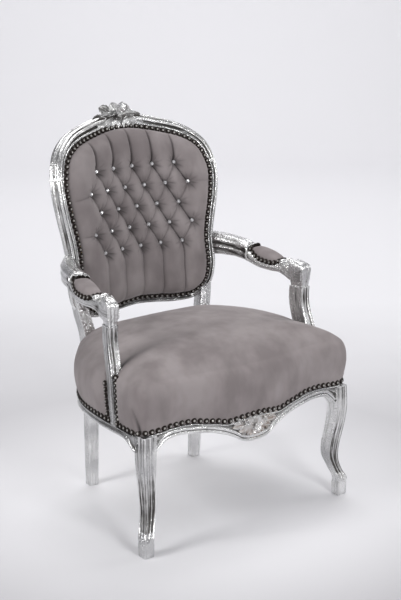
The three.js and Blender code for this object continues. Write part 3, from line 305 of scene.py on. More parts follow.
def keep_relief(piece, values):
    """Gives a carved piece its wear from how far each vertex stands out, hollow at 0 and ridge at 1."""
    piece.data.attributes["wear"].data.foreach_set("value", np.clip(values, 0, 1))


def make_piece(name, shape, finish, slot, replaces=(), crease=38):
    """A mesh of the chair with its finish, riding on the frame, in place of the nodes that it replaces."""
    mesh = bpy.data.meshes.new(name)
    points = (shape.vertices + (0, SEAT_Y, 0)) * MM
    mesh.from_pydata([tuple(p) for p in points], [], shape.faces)
    mesh.validate()
    mesh.polygons.foreach_set("use_smooth", [True] * len(mesh.polygons))
    mesh.set_sharp_from_angle(angle=math.radians(crease))
    run = mesh.attributes.new("run", "FLOAT_VECTOR", "POINT")
    run.data.foreach_set("vector", (shape.run * MM).ravel())
    add_wear(mesh)
    piece = bpy.data.objects.new(name, mesh)
    bpy.context.scene.collection.objects.link(piece)
    mesh.materials.append(finish)
    settle(piece, replaces)
    return piece


def keep_values(piece, name, values):
    """A number for each vertex, for the finish to read."""
    kept = piece.data.attributes.new(name, "FLOAT", "POINT")
    kept.data.foreach_set("value", values)


def settle(piece, replaces=()):
    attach(piece, "root")
    if replaces:
        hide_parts(*replaces)


def add_wear(mesh, reach=6):
    """Keeps how far each vertex stands out of the smoothed surface: ridges near 1, hollows near 0."""
    count = len(mesh.vertices)
    points = np.empty(count * 3)
    mesh.vertices.foreach_get("co", points)
    points = points.reshape(-1, 3)
    normals = np.empty(count * 3)
    mesh.vertices.foreach_get("normal", normals)
    normals = normals.reshape(-1, 3)
    edges = np.empty(len(mesh.edges) * 2, int)
    mesh.edges.foreach_get("vertices", edges)
    a, b = edges.reshape(-1, 2).T
    degree = np.maximum(np.bincount(a, minlength=count) + np.bincount(b, minlength=count), 1)[:, None]
    smooth = points.copy()
    for _ in range(reach):
        total = np.zeros_like(smooth)
        np.add.at(total, a, smooth[b])
        np.add.at(total, b, smooth[a])
        smooth = mix(smooth, total / degree, 0.7)
    stand = ((points - smooth) * normals).sum(1)
    wear = mesh.attributes.new("wear", "FLOAT", "POINT")
    wear.data.foreach_set("value", np.clip(0.5 + stand / (1.4 * MM), 0, 1))


def pair(name, shape, finish, slot, replaces=(), **more):
    """A piece on the right of the chair and its mirror image on the left."""
    return [make_piece(f"{name}_{side}", half, finish, slot, [f"{node}_{side}" for node in replaces], **more)
            for side, half in (("right", shape), ("left", shape.mirrored()))]


# Finishes

class Wire:
    """A value in a finish, for sums with other values and with numbers."""

    def __init__(self, finish, socket):
        self.finish, self.socket = finish, socket

    def _with(self, operation, *values):
        return self.finish.node("Math", {"operation": operation}, dict(enumerate(values)))

    def __add__(self, other):
        return self._with("ADD", self, other)

    def __radd__(self, other):
        return self._with("ADD", other, self)

    def __sub__(self, other):
        return self._with("SUBTRACT", self, other)

    def __rsub__(self, other):
        return self._with("SUBTRACT", other, self)

    def __mul__(self, other):
        return self._with("MULTIPLY", self, other)

    def __rmul__(self, other):
        return self._with("MULTIPLY", other, self)


class NodeBoard:
    """The nodes of a finish or of the light from all round."""

    def __init__(self, owner):
        owner.use_nodes = True
        self.tree = owner.node_tree

    def give(self, node, key, value):
        socket = node.inputs[key]
        if isinstance(value, Wire):
            self.tree.links.new(value.socket, socket)
        elif hasattr(socket.default_value, "__len__") and len(socket.default_value) == 4 and len(value) == 3:
            socket.default_value = (*value, 1)
        else:
            socket.default_value = value

    def node(self, kind, settings=None, sockets=None, out=0):
        node = self.tree.nodes.new("ShaderNode" + kind)
        for key, value in (settings or {}).items():
            if key == "stops":
                while len(node.color_ramp.elements) < len(value):
                    node.color_ramp.elements.new(0.5)
                for element, (place, level) in zip(node.color_ramp.elements, value):
                    element.position, element.color = place, (*np.broadcast_to(level, 3), 1)
            else:
                setattr(node, key, value)
        for key, value in (sockets or {}).items():
            self.give(node, key, value)
        return Wire(self, node.outputs[out])

    def ramp(self, value, *stops):
        return self.node("ValToRGB", {"stops": stops}, {"Fac": value})

    def scaled(self, vector, scale):
        return self.node("VectorMath", {"operation": "MULTIPLY"}, {0: vector, 1: scale})

    def towards(self, vector, direction):
        return self.node("VectorMath", {"operation": "DOT_PRODUCT"}, {0: vector, 1: direction}, out="Value")


class Finish(NodeBoard):
    """A material built from named nodes round one shader."""

    def __init__(self, name, **shader):
        self.material = bpy.data.materials.new(name)
        super().__init__(self.material)
        self.shader = self.tree.nodes["Principled BSDF"]
        self.set(**shader)

    def colours(self, share, low, high):
        """A colour between two others."""
        return self.node("Mix", {"data_type": "RGBA"}, {0: share, 6: low, 7: high}, out=2)

    def cloud(self, scale, detail=3, vector=None, roughness=0.5):
        vector = vector or self.places()
        sockets = {"Vector": vector, "Scale": scale, "Detail": detail, "Roughness": roughness}
        return self.node("TexNoise", None, sockets)

    def places(self):
        return self.node("TexCoord", out="Object")

    def kept(self, name, out="Fac"):
        return self.node("Attribute", {"attribute_name": name}, out=out)

    def bump(self, height, distance, strength=1.0, below=None):
        sockets = {"Height": height, "Distance": distance, "Strength": strength}
        if below:
            sockets["Normal"] = below
        return self.node("Bump", None, sockets)

    def set(self, **sockets):
        for key, value in sockets.items():
            self.give(self.shader, key.replace("_", " "), value)
        return self.material


def silver_leaf(name="silver_leaf", patina=(0.075, 0.07, 0.066)):
    finish = Finish(name, Metallic=1.0)
    run = finish.kept("run", "Vector")
    lines = finish.cloud(1.0, 3, finish.scaled(run, (16, 420, 1)), 0.6)
    bands = finish.cloud(1.0, 3, finish.scaled(run, (7, 150, 1)), 0.5)
    patches = finish.cloud(11, 4)
    crumbs = finish.cloud(170, 3)
    wear = finish.kept("wear")
    hollow = finish.ramp(wear, (0.2, 1.0), (0.5, 0.0))
    ridge = finish.ramp(wear, (0.52, 0.0), (0.8, 1.0))
    # Dark streaks along the grain: partly tarnish in the leaf, partly painted dark reflection.
    streaks_and_painted_reflection = finish.ramp(lines * 0.5 + bands * 0.32 + patches * 0.18, (0.42, 0.0), (0.57, 1.0))
    toning_and_painted_reflection = hollow * 0.58 + streaks_and_painted_reflection * 0.64 + crumbs * 0.3 - ridge * 0.3
    toned_and_painted_reflection = finish.ramp(toning_and_painted_reflection, (0.26, 0.0), (0.98, 1.0))
    patched = finish.ramp(patches, (0.38, 0.0), (0.62, 1.0))
    leaf = finish.colours(patched, (0.62, 0.62, 0.625), (0.95, 0.95, 0.945))
    # The leaf darkens to patina in its hollows and to painted dark reflection along the streaks.
    colour = finish.colours(toned_and_painted_reflection, leaf, patina)
    rough = 0.17 + toned_and_painted_reflection * 0.3 + crumbs * 0.12
    grain = finish.bump(lines + bands, 0.0018, 0.6)
    normal = finish.bump(crumbs + patches * 0.8, 0.0025, 0.6, grain)
    return finish.set(Base_Color=colour, Roughness=rough, Normal=normal)


def velvet():
    finish = Finish("velvet", Roughness=0.92, Specular_IOR_Level=0.15)
    finish.set(Sheen_Weight=0.22, Sheen_Roughness=0.4, Sheen_Tint=(0.92, 0.88, 0.88))
    strokes = finish.cloud(6.5, 3)
    brushed = finish.cloud(21, 3, finish.scaled(finish.places(), (1, 1, 0.5)))
    pile = finish.cloud(1400, 2)
    lay = finish.ramp(strokes * 0.6 + brushed * 0.4, (0.4, 0.0), (0.6, 1.0))
    nap_and_left_shade = finish.colours(lay, (0.185, 0.162, 0.163), (0.262, 0.234, 0.234))
    tips = finish.colours(lay, (0.218, 0.192, 0.193), (0.322, 0.290, 0.290))
    open_face = finish.colours(pile, nap_and_left_shade, tips)
    # Painted shade: the velvet darkens to near black in its creases, round the buttons, in the valleys by the
    # arm supports and towards the left of the back.
    colour = finish.colours(finish.kept("fold"), open_face, (0.03, 0.026, 0.027))
    normal = finish.bump(pile, 0.0004, 0.25, finish.bump(strokes, 0.004, 0.12))
    return finish.set(Base_Color=colour, Normal=normal)


def bronze():
    finish = Finish("antique_bronze", Specular_IOR_Level=0.15)
    dome = finish.kept("dome")
    tarnish = finish.cloud(260, 2)
    # The top of each dome is pale: partly worn bare metal, partly a painted highlight.
    bright = finish.ramp(dome * 0.8 + tarnish * 0.2, (0.78, 0.0), (0.97, 1.0))
    colour = finish.colours(bright, (0.014, 0.01, 0.008), (0.8, 0.775, 0.74))
    finish.set(Base_Color=colour, Metallic=bright)
    return finish.set(Roughness=0.42 - bright * 0.2, Normal=finish.bump(tarnish, 0.0003, 0.4))


def crystal():
    finish = Finish("crystal", Roughness=0.05, IOR=1.55, Specular_IOR_Level=0.9)
    haze = finish.cloud(700, 1)
    colour = finish.colours(finish.ramp(haze, (0.42, 0.0), (0.58, 1.0)), (0.3, 0.3, 0.31), (0.92, 0.92, 0.94))
    return finish.set(Base_Color=colour, Metallic=0.35)


def plain_wood():
    finish = Finish("bare_beech", Roughness=0.7)
    rings = finish.cloud(1.0, 4, finish.scaled(finish.places(), (9, 9, 160)))
    colour = finish.colours(rings, (0.42, 0.29, 0.17), (0.62, 0.47, 0.3))
    return finish.set(Base_Color=colour, Normal=finish.bump(rings, 0.0005, 0.3))


def woven(name, dark, light, pitch):
    finish = Finish(name, Roughness=0.92)
    sockets = {"Vector": finish.places(), "Scale": 1 / pitch, "Distortion": 0.6}
    warp, weft = (finish.node("TexWave", {"wave_type": "BANDS", "bands_direction": axis}, sockets, out="Fac")
                  for axis in "XY")
    threads = warp * weft
    colour = finish.colours(threads * 0.7 + finish.cloud(60) * 0.3, dark, light)
    return finish.set(Base_Color=colour, Normal=finish.bump(threads, 0.0006, 0.6))


SILVER = silver_leaf()
SILVER_CARVED = silver_leaf("silver_leaf_carved", (0.17, 0.095, 0.045))
VELVET = velvet()
BRONZE = bronze()
CRYSTAL = crystal()
BEECH = plain_wood()
JUTE = woven("jute", (0.2, 0.13, 0.06), (0.52, 0.4, 0.22), 0.02)
BLACK_CLOTH = woven("black_cloth", (0.008, 0.008, 0.009), (0.03, 0.03, 0.032), 0.012)


# Outlines of the seat and the back

SEAT_OUTLINE_SHARES = [
    (0, -1), (0.3, -0.967), (0.6, -0.907), (0.88, -0.892), (0.965, -0.862), (0.99, -0.79), (0.985, -0.487),
    (0.973, -0.155), (0.927, 0.25), (0.845, 0.532), (0.742, 0.739), (0.642, 0.896), (0.58, 0.958),
    (0.5, 0.972), (0.25, SEAT_BACK_SHARE), (0, SEAT_BACK_SHARE),
]
BACK_OUTLINE_SHARES = [
    (0, 1), (0.2, 0.991), (0.404, 0.971), (0.717, 0.928), (0.9, 0.865), (0.985, 0.765), (1, 0.702),
    (0.974, 0.587), (0.904, 0.408), (0.883, 0.329), (0.887, 0.148), (0.835, 0.053), (0.687, -0.007),
    (0.483, -0.018), (0.26, -0.009), (0, 0),
]
seat_outline = OutlineCurve(np.array(SEAT_OUTLINE_SHARES) * (SEAT_WIDTH / 2, SEAT_DEPTH / 2))
back_outline = OutlineCurve(np.array(BACK_OUTLINE_SHARES) * (BACK_WIDTH / 2, BACK_HEIGHT) + (0, BACK_LOW))
# Stations of the outlines where pieces meet
CREST_JOINT = 5
LOWER_JOINT = 12
FRONT_RAIL_END = 3.35
LEG_HEAD_START, LEG_HEAD_END = 3.3, 5.2
BACK_NAILS_REACH = 2.4


def seat_points(s, out, z):
    flat = seat_outline.at(s) + seat_outline.out(s) * np.atleast_1d(out)[:, None]
    return np.column_stack([flat, np.broadcast_to(z, len(flat))])


def seat_station_at(y):
    """Where the right side of the seat outline passes a depth."""
    stations = np.linspace(4, seat_outline.count / 2, 2000)
    return stations[np.searchsorted(seat_outline.at(stations)[:, 1], y)]


def back_face_y(x, z):
    lean = (z - BACK_LOW) * RECLINE
    roll = BACK_ROLL * ((z - BACK_ROLL_MIDDLE) / BACK_ROLL_HEIGHT) ** 2
    return POST_SEAT_Y + BACK_SETBACK + lean + roll - BACK_SAG * (x / BACK_SAG_HALF_WIDTH) ** 2


def on_back(x, z, depth):
    """Points at a depth behind the bent face of the back."""
    x, z, depth = np.broadcast_arrays(np.asarray(x, float), z, depth)
    slope_x = -2 * BACK_SAG * x / BACK_SAG_HALF_WIDTH ** 2
    slope_z = RECLINE + 2 * BACK_ROLL * (z - BACK_ROLL_MIDDLE) / BACK_ROLL_HEIGHT ** 2
    normal = np.stack([-slope_x, np.ones_like(x), -slope_z], -1)
    normal /= np.linalg.norm(normal, axis=-1)[..., None]
    return np.stack([x, back_face_y(x, z), z], -1) + normal * depth[..., None]


def frame_points(s, out, depth):
    """Points beside the nail line of the back, moved out by a distance and back by a depth."""
    flat = back_outline.at(s) + back_outline.out(s) * np.atleast_1d(out)[:, None]
    return on_back(flat[:, 0], flat[:, 1], depth)


def back_half_width(z):
    stations = np.linspace(6, 13, 800)
    places = back_outline.at(stations)
    return float(np.interp(-z, -places[:, 1], places[:, 0]))


# Back frame

def frame_section(flare=0):
    """The back frame cut across: places out from the nail line, and depths behind its face."""
    width = FRAME_OUTER - COVER_REBATE_EDGE + flare
    deep = FRAME_THICKNESS
    face = moulding(
        (COVER_REBATE_EDGE, COVER_REBATE), ("flat", 0, -COVER_REBATE), ("swell", 0.2 * width, -1.8),
        ("flat", 0.02 * width, 1.6), ("swell", 0.2 * width, 1.8), ("flat", 0.02 * width, -1.6),
        ("swell", 0.28 * width, -2.2), ("flat", 0.02 * width, 1.8), ("round", 0.28 * width, 0.2 * deep),
        ("flat", -0.12 * width, 0.04 * deep), ("side", -0.08 * width, 0.3 * deep),
        ("flat", 0.1 * width, 0.04 * deep), ("side", 0.06 * width, 0.3 * deep),
        ("flat", -0.3 * width, 0.07 * deep),
    )
    rear = [(-COVER_REBATE_EDGE, deep), (-COVER_REBATE_EDGE, deep - COVER_REBATE),
            (-FRAME_INNER, deep - COVER_REBATE), (-FRAME_INNER, CLOTH_REBATE), (-CLOTH_REBATE, CLOTH_REBATE),
            (-CLOTH_REBATE, COVER_REBATE)]
    return np.vstack([face, rear])


def frame_stretch(start, end, per_span=8):
    """A length of the back frame between two stations of its outline."""
    rings = []
    for s in np.linspace(start, end, round((end - start) * per_span) + 1):
        from_top = min(abs(s), abs(back_outline.count - s)) / CREST_JOINT
        section = frame_section(CREST_FLARE * (1 - smooth_step(from_top, 0.3, 1.2)))
        rings.append(frame_points(s, section[:, 0], section[:, 1]))
    return loft(rings)


def soft_square(count=16, corner=0.18):
    """Points round a square of half size 1 with softened corners."""
    points = []
    for quarter in range(4):
        turn = quarter * math.pi / 2
        for i in range(count // 4):
            a = turn + math.pi / 2 * i / (count // 4 - 1)
            middle = np.array([math.cos(turn + math.pi / 4), math.sin(turn + math.pi / 4)])
            middle = middle * math.sqrt(2) * (1 - corner)
            points.append(middle + corner * np.array([math.cos(a), math.sin(a)]))
    return np.array(points)


# Height share, place between foot and seat, place between seat and back frame, width share, depth share
POST_SHARES = [
    (0, 0, 0, 0.76, 0.76), (0.2, 0.25, 0, 0.84, 0.84), (0.42, 0.62, 0, 0.93, 0.93), (0.62, 0.95, 0, 1, 1),
    (0.77, 1, 0.25, 1, 1), (0.86, 1, 0.7, 1, 0.97), (0.93, 1, 0.95, 0.95, 0.9), (1, 1, 1, 0.8, 0.8),
]
POST_SEAT_X = seat_points(seat_station_at(POST_SEAT_Y), 0, 0)[0, 0] - POST_INSET


def post_leg():
    top_x = back_half_width(POST_JOIN)
    top_y = back_face_y(top_x, POST_JOIN) + FRAME_THICKNESS * 0.58
    section = soft_square()
    rings = []
    for h, lean, rise, width, depth in smooth_rows(POST_SHARES, 4):
        x = mix(POST_SEAT_X - BACK_FOOT_TUCK * (1 - lean), top_x, rise)
        y = mix(POST_SEAT_Y + BACK_FOOT_RAKE * (1 - lean), top_y, rise)
        flat = section * (width * POST_WIDTH / 2, depth * POST_WIDTH / 2) + (x, y)
        rings.append(np.column_stack([flat, np.full(len(flat), h * POST_JOIN)]))
    return loft(rings)


# Carving

def petal(length, width, cup, thick=2.4, lobes=0, notch=0.0, blunt=0.62):
    """A cupped petal or leaf that grows along +Z and faces -Y, with a vein down its middle."""
    along, across = np.meshgrid(np.linspace(0, 1, 15), np.linspace(-1, 1, 11), indexing="ij")
    swell = np.sin(math.pi * np.clip(along, 0.02, 0.985) ** 0.72) ** blunt
    swell *= 1 + 0.2 * np.abs(np.sin(lobes * math.pi * along)) if lobes else 1
    x = across * swell * width / 2
    z = length * (along - notch * along ** 4 * (1 - np.abs(across)) ** 2)
    curl = cup * (across ** 2 * 0.6 - np.sin(math.pi * along) * 0.4 - 0.9 * along ** 3)
    vein = 0.5 * thick * np.exp(-(across / 0.16) ** 2) * np.sin(math.pi * along)
    edge = (1 - across ** 2) ** 0.5 * np.sin(math.pi * np.clip(along, 0.03, 0.97)) ** 0.5
    front = np.stack([x, curl + vein - thick * edge, z], -1)
    back = np.stack([x, curl + thick * edge, z], -1)
    rows = [np.vstack([front[i], back[i][::-1]]) for i in range(len(front))]
    return loft(rows)


def rose(span, depth, petals=5, tilt=0.3, turn_by=0.0):
    """An open rose facing -Y: three whorls of broad rounded petals round a seed head."""
    whole = turned(boss(span * 0.36, depth * 0.3), place=(0, depth * 0.05, 0))
    whole += turned(boss(span * 0.1, depth * 0.3), place=(0, -depth * 0.75, 0))
    whorls = ((0.5, 0.46, tilt, 0.1), (0.36, 0.36, tilt + 0.45, 0.35), (0.22, 0.24, tilt + 0.85, 0.6))
    for whorl, (reach, wide, lean, lift) in enumerate(whorls):
        for i in range(petals):
            turn = (i + 0.5 * whorl + turn_by) / petals * 2 * math.pi
            leaf = petal(span * reach, span * wide, -depth * 0.3, depth * 0.1, notch=0.12, blunt=0.36)
            leaf = leaf.moved(lambda points: points + (0, -depth * lift, span * 0.04))
            whole += turned(leaf, turn, lean)
    return whole


def turned(shape, turn=0, tilt=0, place=(0, 0, 0)):
    """The shape tipped back, then turned about -Y and moved."""
    matrix = Matrix.Rotation(turn, 3, "Y") @ Matrix.Rotation(tilt, 3, "X")
    return Shape(shape.vertices @ np.array(matrix).T + place, shape.faces, shape.run)


def boss(radius, thick):
    """A low dome that faces -Y."""
    rings = []
    for a in np.linspace(0.06, math.pi - 0.06, 9):
        turn = np.linspace(0, 2 * math.pi, 12, endpoint=False)
        rings.append(np.column_stack([radius * math.sin(a) * np.cos(turn), np.full(12, -thick * math.cos(a)),
                                      radius * math.sin(a) * np.sin(turn)]))
    return loft(rings)


# Each leaf's length, width and turn, then its place across, up and back
CREST_LEAF_SHARES = (
    (0.2, 0.42, 0.95, 0.3, 0.5, 0.6), (0.26, 0.44, 1.6, 0.34, 0.3, 0.2), (0.24, 0.4, 2.0, 0.3, 0.18, -0.1),
    (0.22, 0.34, 1.75, 0.66, 0.2, 0.1), (0.16, 0.3, 2.5, 0.14, 0.14, -0.2), (0.2, 0.3, 1.55, 0.66, 0.32, 0.5),
)


def crest_carving():
    """The rose on the crest rail, leaning back over its top, with leaves down both sides of the rail."""
    span = CREST_CARVING_WIDTH * 0.48
    low = BACK_LOW + BACK_HEIGHT + 4
    depth = CREST_CARVING_DEPTH
    flower = turned(rose(span, depth, tilt=0.1, turn_by=0.5), 0, 0.45)
    whole = flower.moved(lambda p: p + (0, 0.35 * depth, 0.44 * span))
    for side in (-1, 1):
        for long, wide, turn, x, z, deep in CREST_LEAF_SHARES:
            reach = long * CREST_CARVING_WIDTH
            leaf = petal(reach, wide * span, -depth * 0.3, depth * 0.18, lobes=3, blunt=0.4)
            whole += turned(leaf, side * turn, 0.1, (side * x * span, deep * depth, z * span))
    foot = np.exp(-((whole.vertices[:, 2] / span - 0.3) / 0.12) ** 2)
    relief = 0.6 - 0.3 * whole.vertices[:, 1] / depth - 0.4 * foot
    return whole.moved(lambda p: on_back(p[:, 0], low + p[:, 2], p[:, 1])), relief


crest = frame_stretch(-CREST_JOINT, CREST_JOINT)
make_piece("crest_rail_moulded", crest, SILVER, "silver_leaf", ["crest_rail"])
shape, relief = crest_carving()
keep_relief(make_piece("crest_carving", shape, SILVER, "silver_leaf"), relief)
make_piece("lower_back_rail_moulded", frame_stretch(LOWER_JOINT, back_outline.count - LOWER_JOINT), SILVER,
           "silver_leaf", ["lower_back_rail"])
pair("back_post_moulded", frame_stretch(CREST_JOINT, LOWER_JOINT) + post_leg(), SILVER, "silver_leaf",
     ["back_post"])


# Front legs

# Height share, lean outwards, and both widths, all of the knee width
LEG_SHARES = [
    (0.12, 0, 0.66, 0.66), (0.15, 0.02, 0.72, 0.7), (0.19, -0.07, 0.68, 0.68), (0.22, -0.17, 0.65, 0.66),
    (0.29, -0.34, 0.69, 0.66), (0.36, -0.45, 0.81, 0.69), (0.46, -0.44, 0.88, 0.74), (0.58, -0.32, 0.9, 0.79),
    (0.7, -0.21, 0.93, 0.87), (0.82, -0.16, 0.95, 0.93), (0.92, -0.18, 0.95, 0.95), (1, -0.2, 0.95, 0.96),
]


def leg_section():
    """The leg cut across, its first axis to the chair's corner: two ribbed outer faces, plain inner ones."""
    face = np.linspace(0.03, 0.97, 36)
    flute = np.abs(np.sin(math.pi * np.clip((face - 0.2) / 0.37, 0, 2))) ** 0.8
    corner = 0.05 * (1 - smooth_step(face, 0.0, 0.16))
    deep = 0.07 * flute + corner
    right = np.column_stack([1 - face - deep, face - deep])
    inner = np.array([(-0.93, 0.09), (-0.97, 0), (-0.93, -0.09)])
    left = right[::-1] * (1, -1)
    return np.vstack([right, inner, left])


def front_leg():
    section = leg_section()
    rings = []
    for h, lean, along, across in smooth_rows(LEG_SHARES, 4):
        out = (lean + section[:, 0] * along / 2) * KNEE_WIDTH
        side = section[:, 1] * across / 2 * KNEE_WIDTH
        x, y = FOOT_X + (out + side) * math.sqrt(0.5), FOOT_Y - (out - side) * math.sqrt(0.5)
        rings.append(np.column_stack([x, y, np.full(len(x), h * LEG_HEIGHT)]))
    whole = loft(rings)
    block = []
    for h, size in ((0, 0.9), (0.04, 0.97), (0.3, 1.0), (0.9, 1.02), (1.0, 0.97), (1.12, 0.9)):
        flat = soft_square(corner=0.12) * FOOT_BLOCK / 2 * size + (FOOT_X, FOOT_Y)
        block.append(np.column_stack([flat, np.full(len(flat), h * FOOT_BLOCK_HEIGHT)]))
    whole += loft(block)
    for x, y, turn in ((1, -0.25, math.pi / 2), (0.25, -1, 0)):
        toe = volute(TOE_RADIUS, TOE_WIDTH)
        place = (FOOT_X + x * FOOT_BLOCK * 0.42, FOOT_Y + y * FOOT_BLOCK * 0.42, FOOT_BLOCK_HEIGHT + TOE_RISE)
        matrix = np.array(Matrix.Rotation(turn, 3, "Z"))
        whole += toe.moved(lambda p: p @ matrix.T + place)
    return whole


def volute(radius, width, turns=1.4):
    """A small roll seen end on from -Y: a band that winds in to its eye, with a groove between the turns."""
    rings = []
    for t in np.linspace(0, 1, 30):
        a = turns * 2 * math.pi * t
        middle = radius * (1 - 0.72 * t)
        thick = radius * 0.3 * (1 - 0.45 * t)
        ring = []
        for b in np.linspace(0, 2 * math.pi, 10, endpoint=False):
            r = middle - thick + thick * math.cos(b)
            ring.append((r * math.cos(a), width / 2 * (1 + 0.25 * t) * math.sin(b), r * math.sin(a)))
        rings.append(ring)
    eye = turned(boss(radius * 0.34, width * 0.6))
    return loft(rings) + eye


pair("front_leg_carved", front_leg(), SILVER, "silver_leaf", ["front_leg"])


# Seat rails

NAIL_LINE_SHARES = np.array([
    (0, -0.35), (0.1, -0.45), (0.24, -0.7), (0.34, -0.35), (0.45, -0.05), (0.54, 0.25), (0.7, 0.3),
    (0.85, 0.1), (1, 0),
])


def nail_line_rise(x, y):
    """How far the front nail line and the rail below it wave up and down."""
    share = np.abs(x) / (SEAT_WIDTH / 2)
    fine = smooth_rows(NAIL_LINE_SHARES, 6)
    front = smooth_step(-np.asarray(y, float), 0.2 * SEAT_DEPTH, 0.4 * SEAT_DEPTH)
    return front * MOULDING_DEPTH * np.interp(share, fine[:, 0], fine[:, 1])


FRONT_RAIL_DROP_SHARES = np.array([
    (0, 1), (0.08, 0.97), (0.15, 0.86), (0.22, 0.62), (0.32, 0.36), (0.45, 0.14), (0.6, 0.02), (0.75, -0.06),
    (0.88, 0), (0.96, 0.3), (1, 0.55),
])


def front_rail_low(x):
    share = np.minimum(np.abs(x) / (FOOT_X - LEG_HEAD / 2), 1)
    fine = smooth_rows(FRONT_RAIL_DROP_SHARES, 8)
    return RAIL_LOW - FRONT_RAIL_DROP * np.interp(share, fine[:, 0], fine[:, 1])


def rail_section(low, high, beads=2):
    """A seat rail cut across: beads along its lower edge, a hollow, and a bead under the nails."""
    size = 0.42 * MOULDING_DEPTH
    face = [(-RAIL_THICKNESS, low), (0, low)]
    bead_steps = [("side", 3.0, size), ("flat", 0, 0.8)]
    points = moulding((0.5, low), *(bead_steps * beads))
    top = high - 0.45 * size
    hollow = moulding(points[-1], ("side", -1.8, top - points[-1][1]))
    bead = moulding(hollow[-1], ("side", 2.6, high - top))
    rear = [(-RAIL_SETBACK, high), (-RAIL_SETBACK, RAIL_TOP), (-RAIL_THICKNESS, RAIL_TOP)]
    return np.vstack([face, points, hollow[1:], bead[1:], rear])


def front_rail():
    rings = []
    for s in np.linspace(-FRONT_RAIL_END, FRONT_RAIL_END, 121):
        x = seat_points(s, 0, 0)[0, 0]
        high = MOULDING_TOP + float(nail_line_rise(x, -SEAT_DEPTH / 2))
        section = rail_section(float(front_rail_low(x)), high)
        rings.append(seat_points(s, section[:, 0], section[:, 1]))
    return loft(rings)


def side_rail():
    end = seat_station_at(POST_SEAT_Y)
    start = seat_station_at(FOOT_Y + LEG_HEAD * 0.35)
    rings = []
    for s in np.linspace(start, end, 81):
        place = seat_points(s, 0, 0)[0]
        dip = KNEE_DIP * (1 - smooth_step(place[1] - FOOT_Y, 14, 70)) ** 1.5
        section = rail_section(RAIL_LOW - dip, MOULDING_TOP - 1, 1)
        rings.append(seat_points(s, section[:, 0], section[:, 1]))
    return loft(rings)


def corner_block():
    """The top of the leg between the rails, under the nails."""
    rings = []
    for s in np.linspace(LEG_HEAD_START, LEG_HEAD_END, 40):
        rows = moulding((-RAIL_THICKNESS, RAIL_LOW - 2), ("flat", RAIL_THICKNESS - 3.5, 0), ("side", 0.5, 14),
                        ("side", 0.8, MOULDING_TOP - RAIL_LOW - 12), ("flat", -RAIL_SETBACK, 0),
                        ("flat", 0, RAIL_TOP - MOULDING_TOP), ("flat", RAIL_SETBACK - RAIL_THICKNESS, 0))
        rings.append(seat_points(s, rows[:, 0], rows[:, 1]))
    return loft(rings)


# Each leaf's length, width and turn, then its place across and up
APRON_LEAF_SHARES = (
    (0.5, 0.2, 1.35, 0.62, 0.26), (0.4, 0.2, 1.62, 0.56, 0.12), (0.34, 0.2, 1.9, 0.4, 0.0),
    (0.34, 0.22, 2.4, 0.16, -0.14), (0.3, 0.2, 2.9, 0.08, -0.2), (0.3, 0.18, 0.5, 0.2, 0.16),
    (0.26, 0.2, 1.0, 0.3, 0.28),
)


def apron_carving():
    """The spray of flowers and leaves on a raised field in the middle of the front rail."""
    high = MOULDING_DEPTH + FRONT_RAIL_DROP
    middle = MOULDING_TOP - high * 0.47
    depth = APRON_CARVING_DEPTH
    field = boss(1, 1).moved(lambda p: p * (high * 0.72, depth * 0.42, high * 0.4))
    field = field.moved(lambda p: p + (0, depth * 0.1, high * 0.04))
    whole = field + turned(rose(high * 0.5, depth, tilt=0.25), place=(0, -depth * 0.1, 0))
    for side in (-1, 1):
        for span, x, z in ((0.34, 0.4, 0.16), (0.22, 0.62, 0.3)):
            whole += turned(rose(high * span, depth * 0.8, tilt=0.3, turn_by=side), 0.2 * side, 0,
                            (side * high * x, 0, high * z))
        for long, wide, turn, x, z in APRON_LEAF_SHARES:
            leaf = petal(long * high, wide * high, -depth * 0.25, depth * 0.16, lobes=3)
            whole += turned(leaf, side * turn, 0.1, (side * x * high, -0.1 * depth, z * high))
        whole += volute(high * 0.1, depth * 0.8).moved(lambda p: p + (side * high * 0.52, 0, -high * 0.2))
    front = -SEAT_DEPTH / 2
    relief = 0.3 - 0.9 * whole.vertices[:, 1] / depth
    whole = whole.moved(lambda p: p + (0, front, middle))
    return whole.moved(lambda p: p + np.abs(p[:, :1]) * (0, 0.1, 0)), relief


make_piece("front_rail_moulded", front_rail(), SILVER, "silver_leaf", ["front_rail"])
shape, relief = apron_carving()
keep_relief(make_piece("apron_carving", shape, SILVER_CARVED, "silver_leaf"), relief)
pair("side_rail_moulded", side_rail(), SILVER, "silver_leaf", ["side_rail"])
pair("leg_head", corner_block(), SILVER, "silver_leaf")


# Arms

# Place along, place across, top, bottom, width, rounding of the top
ARM_SHARES = [
    (0, 0.11, 1.18, -0.06, 1.2, 0.14), (0.1, 0.335, 1.12, -0.02, 1.32, 0.18),
    (0.23, 0.54, 1.0, -0.02, 1.44, 0.2), (0.36, 0.65, 0.86, -0.1, 1.5, 0.16),
    (0.41, 0.7, 0.54, -0.18, 1.56, 0.1), (0.53, 0.8, 0.34, -0.36, 1.59, 0.42),
    (0.652, 0.86, 0.2, -0.42, 1.41, 0.42), (0.748, 0.89, 0.16, -0.42, 1.15, 0.34),
    (0.813, 0.905, 0.14, -0.56, 0.97, 0.14), (0.877, 0.95, 0.12, -0.74, 0.97, 0.12),
    (0.958, 0.99, 0.08, -0.72, 1, 0.12), (1, 1, 0.04, -0.66, 1, 0.12),
]
PAD_SPANS = (4, 7)


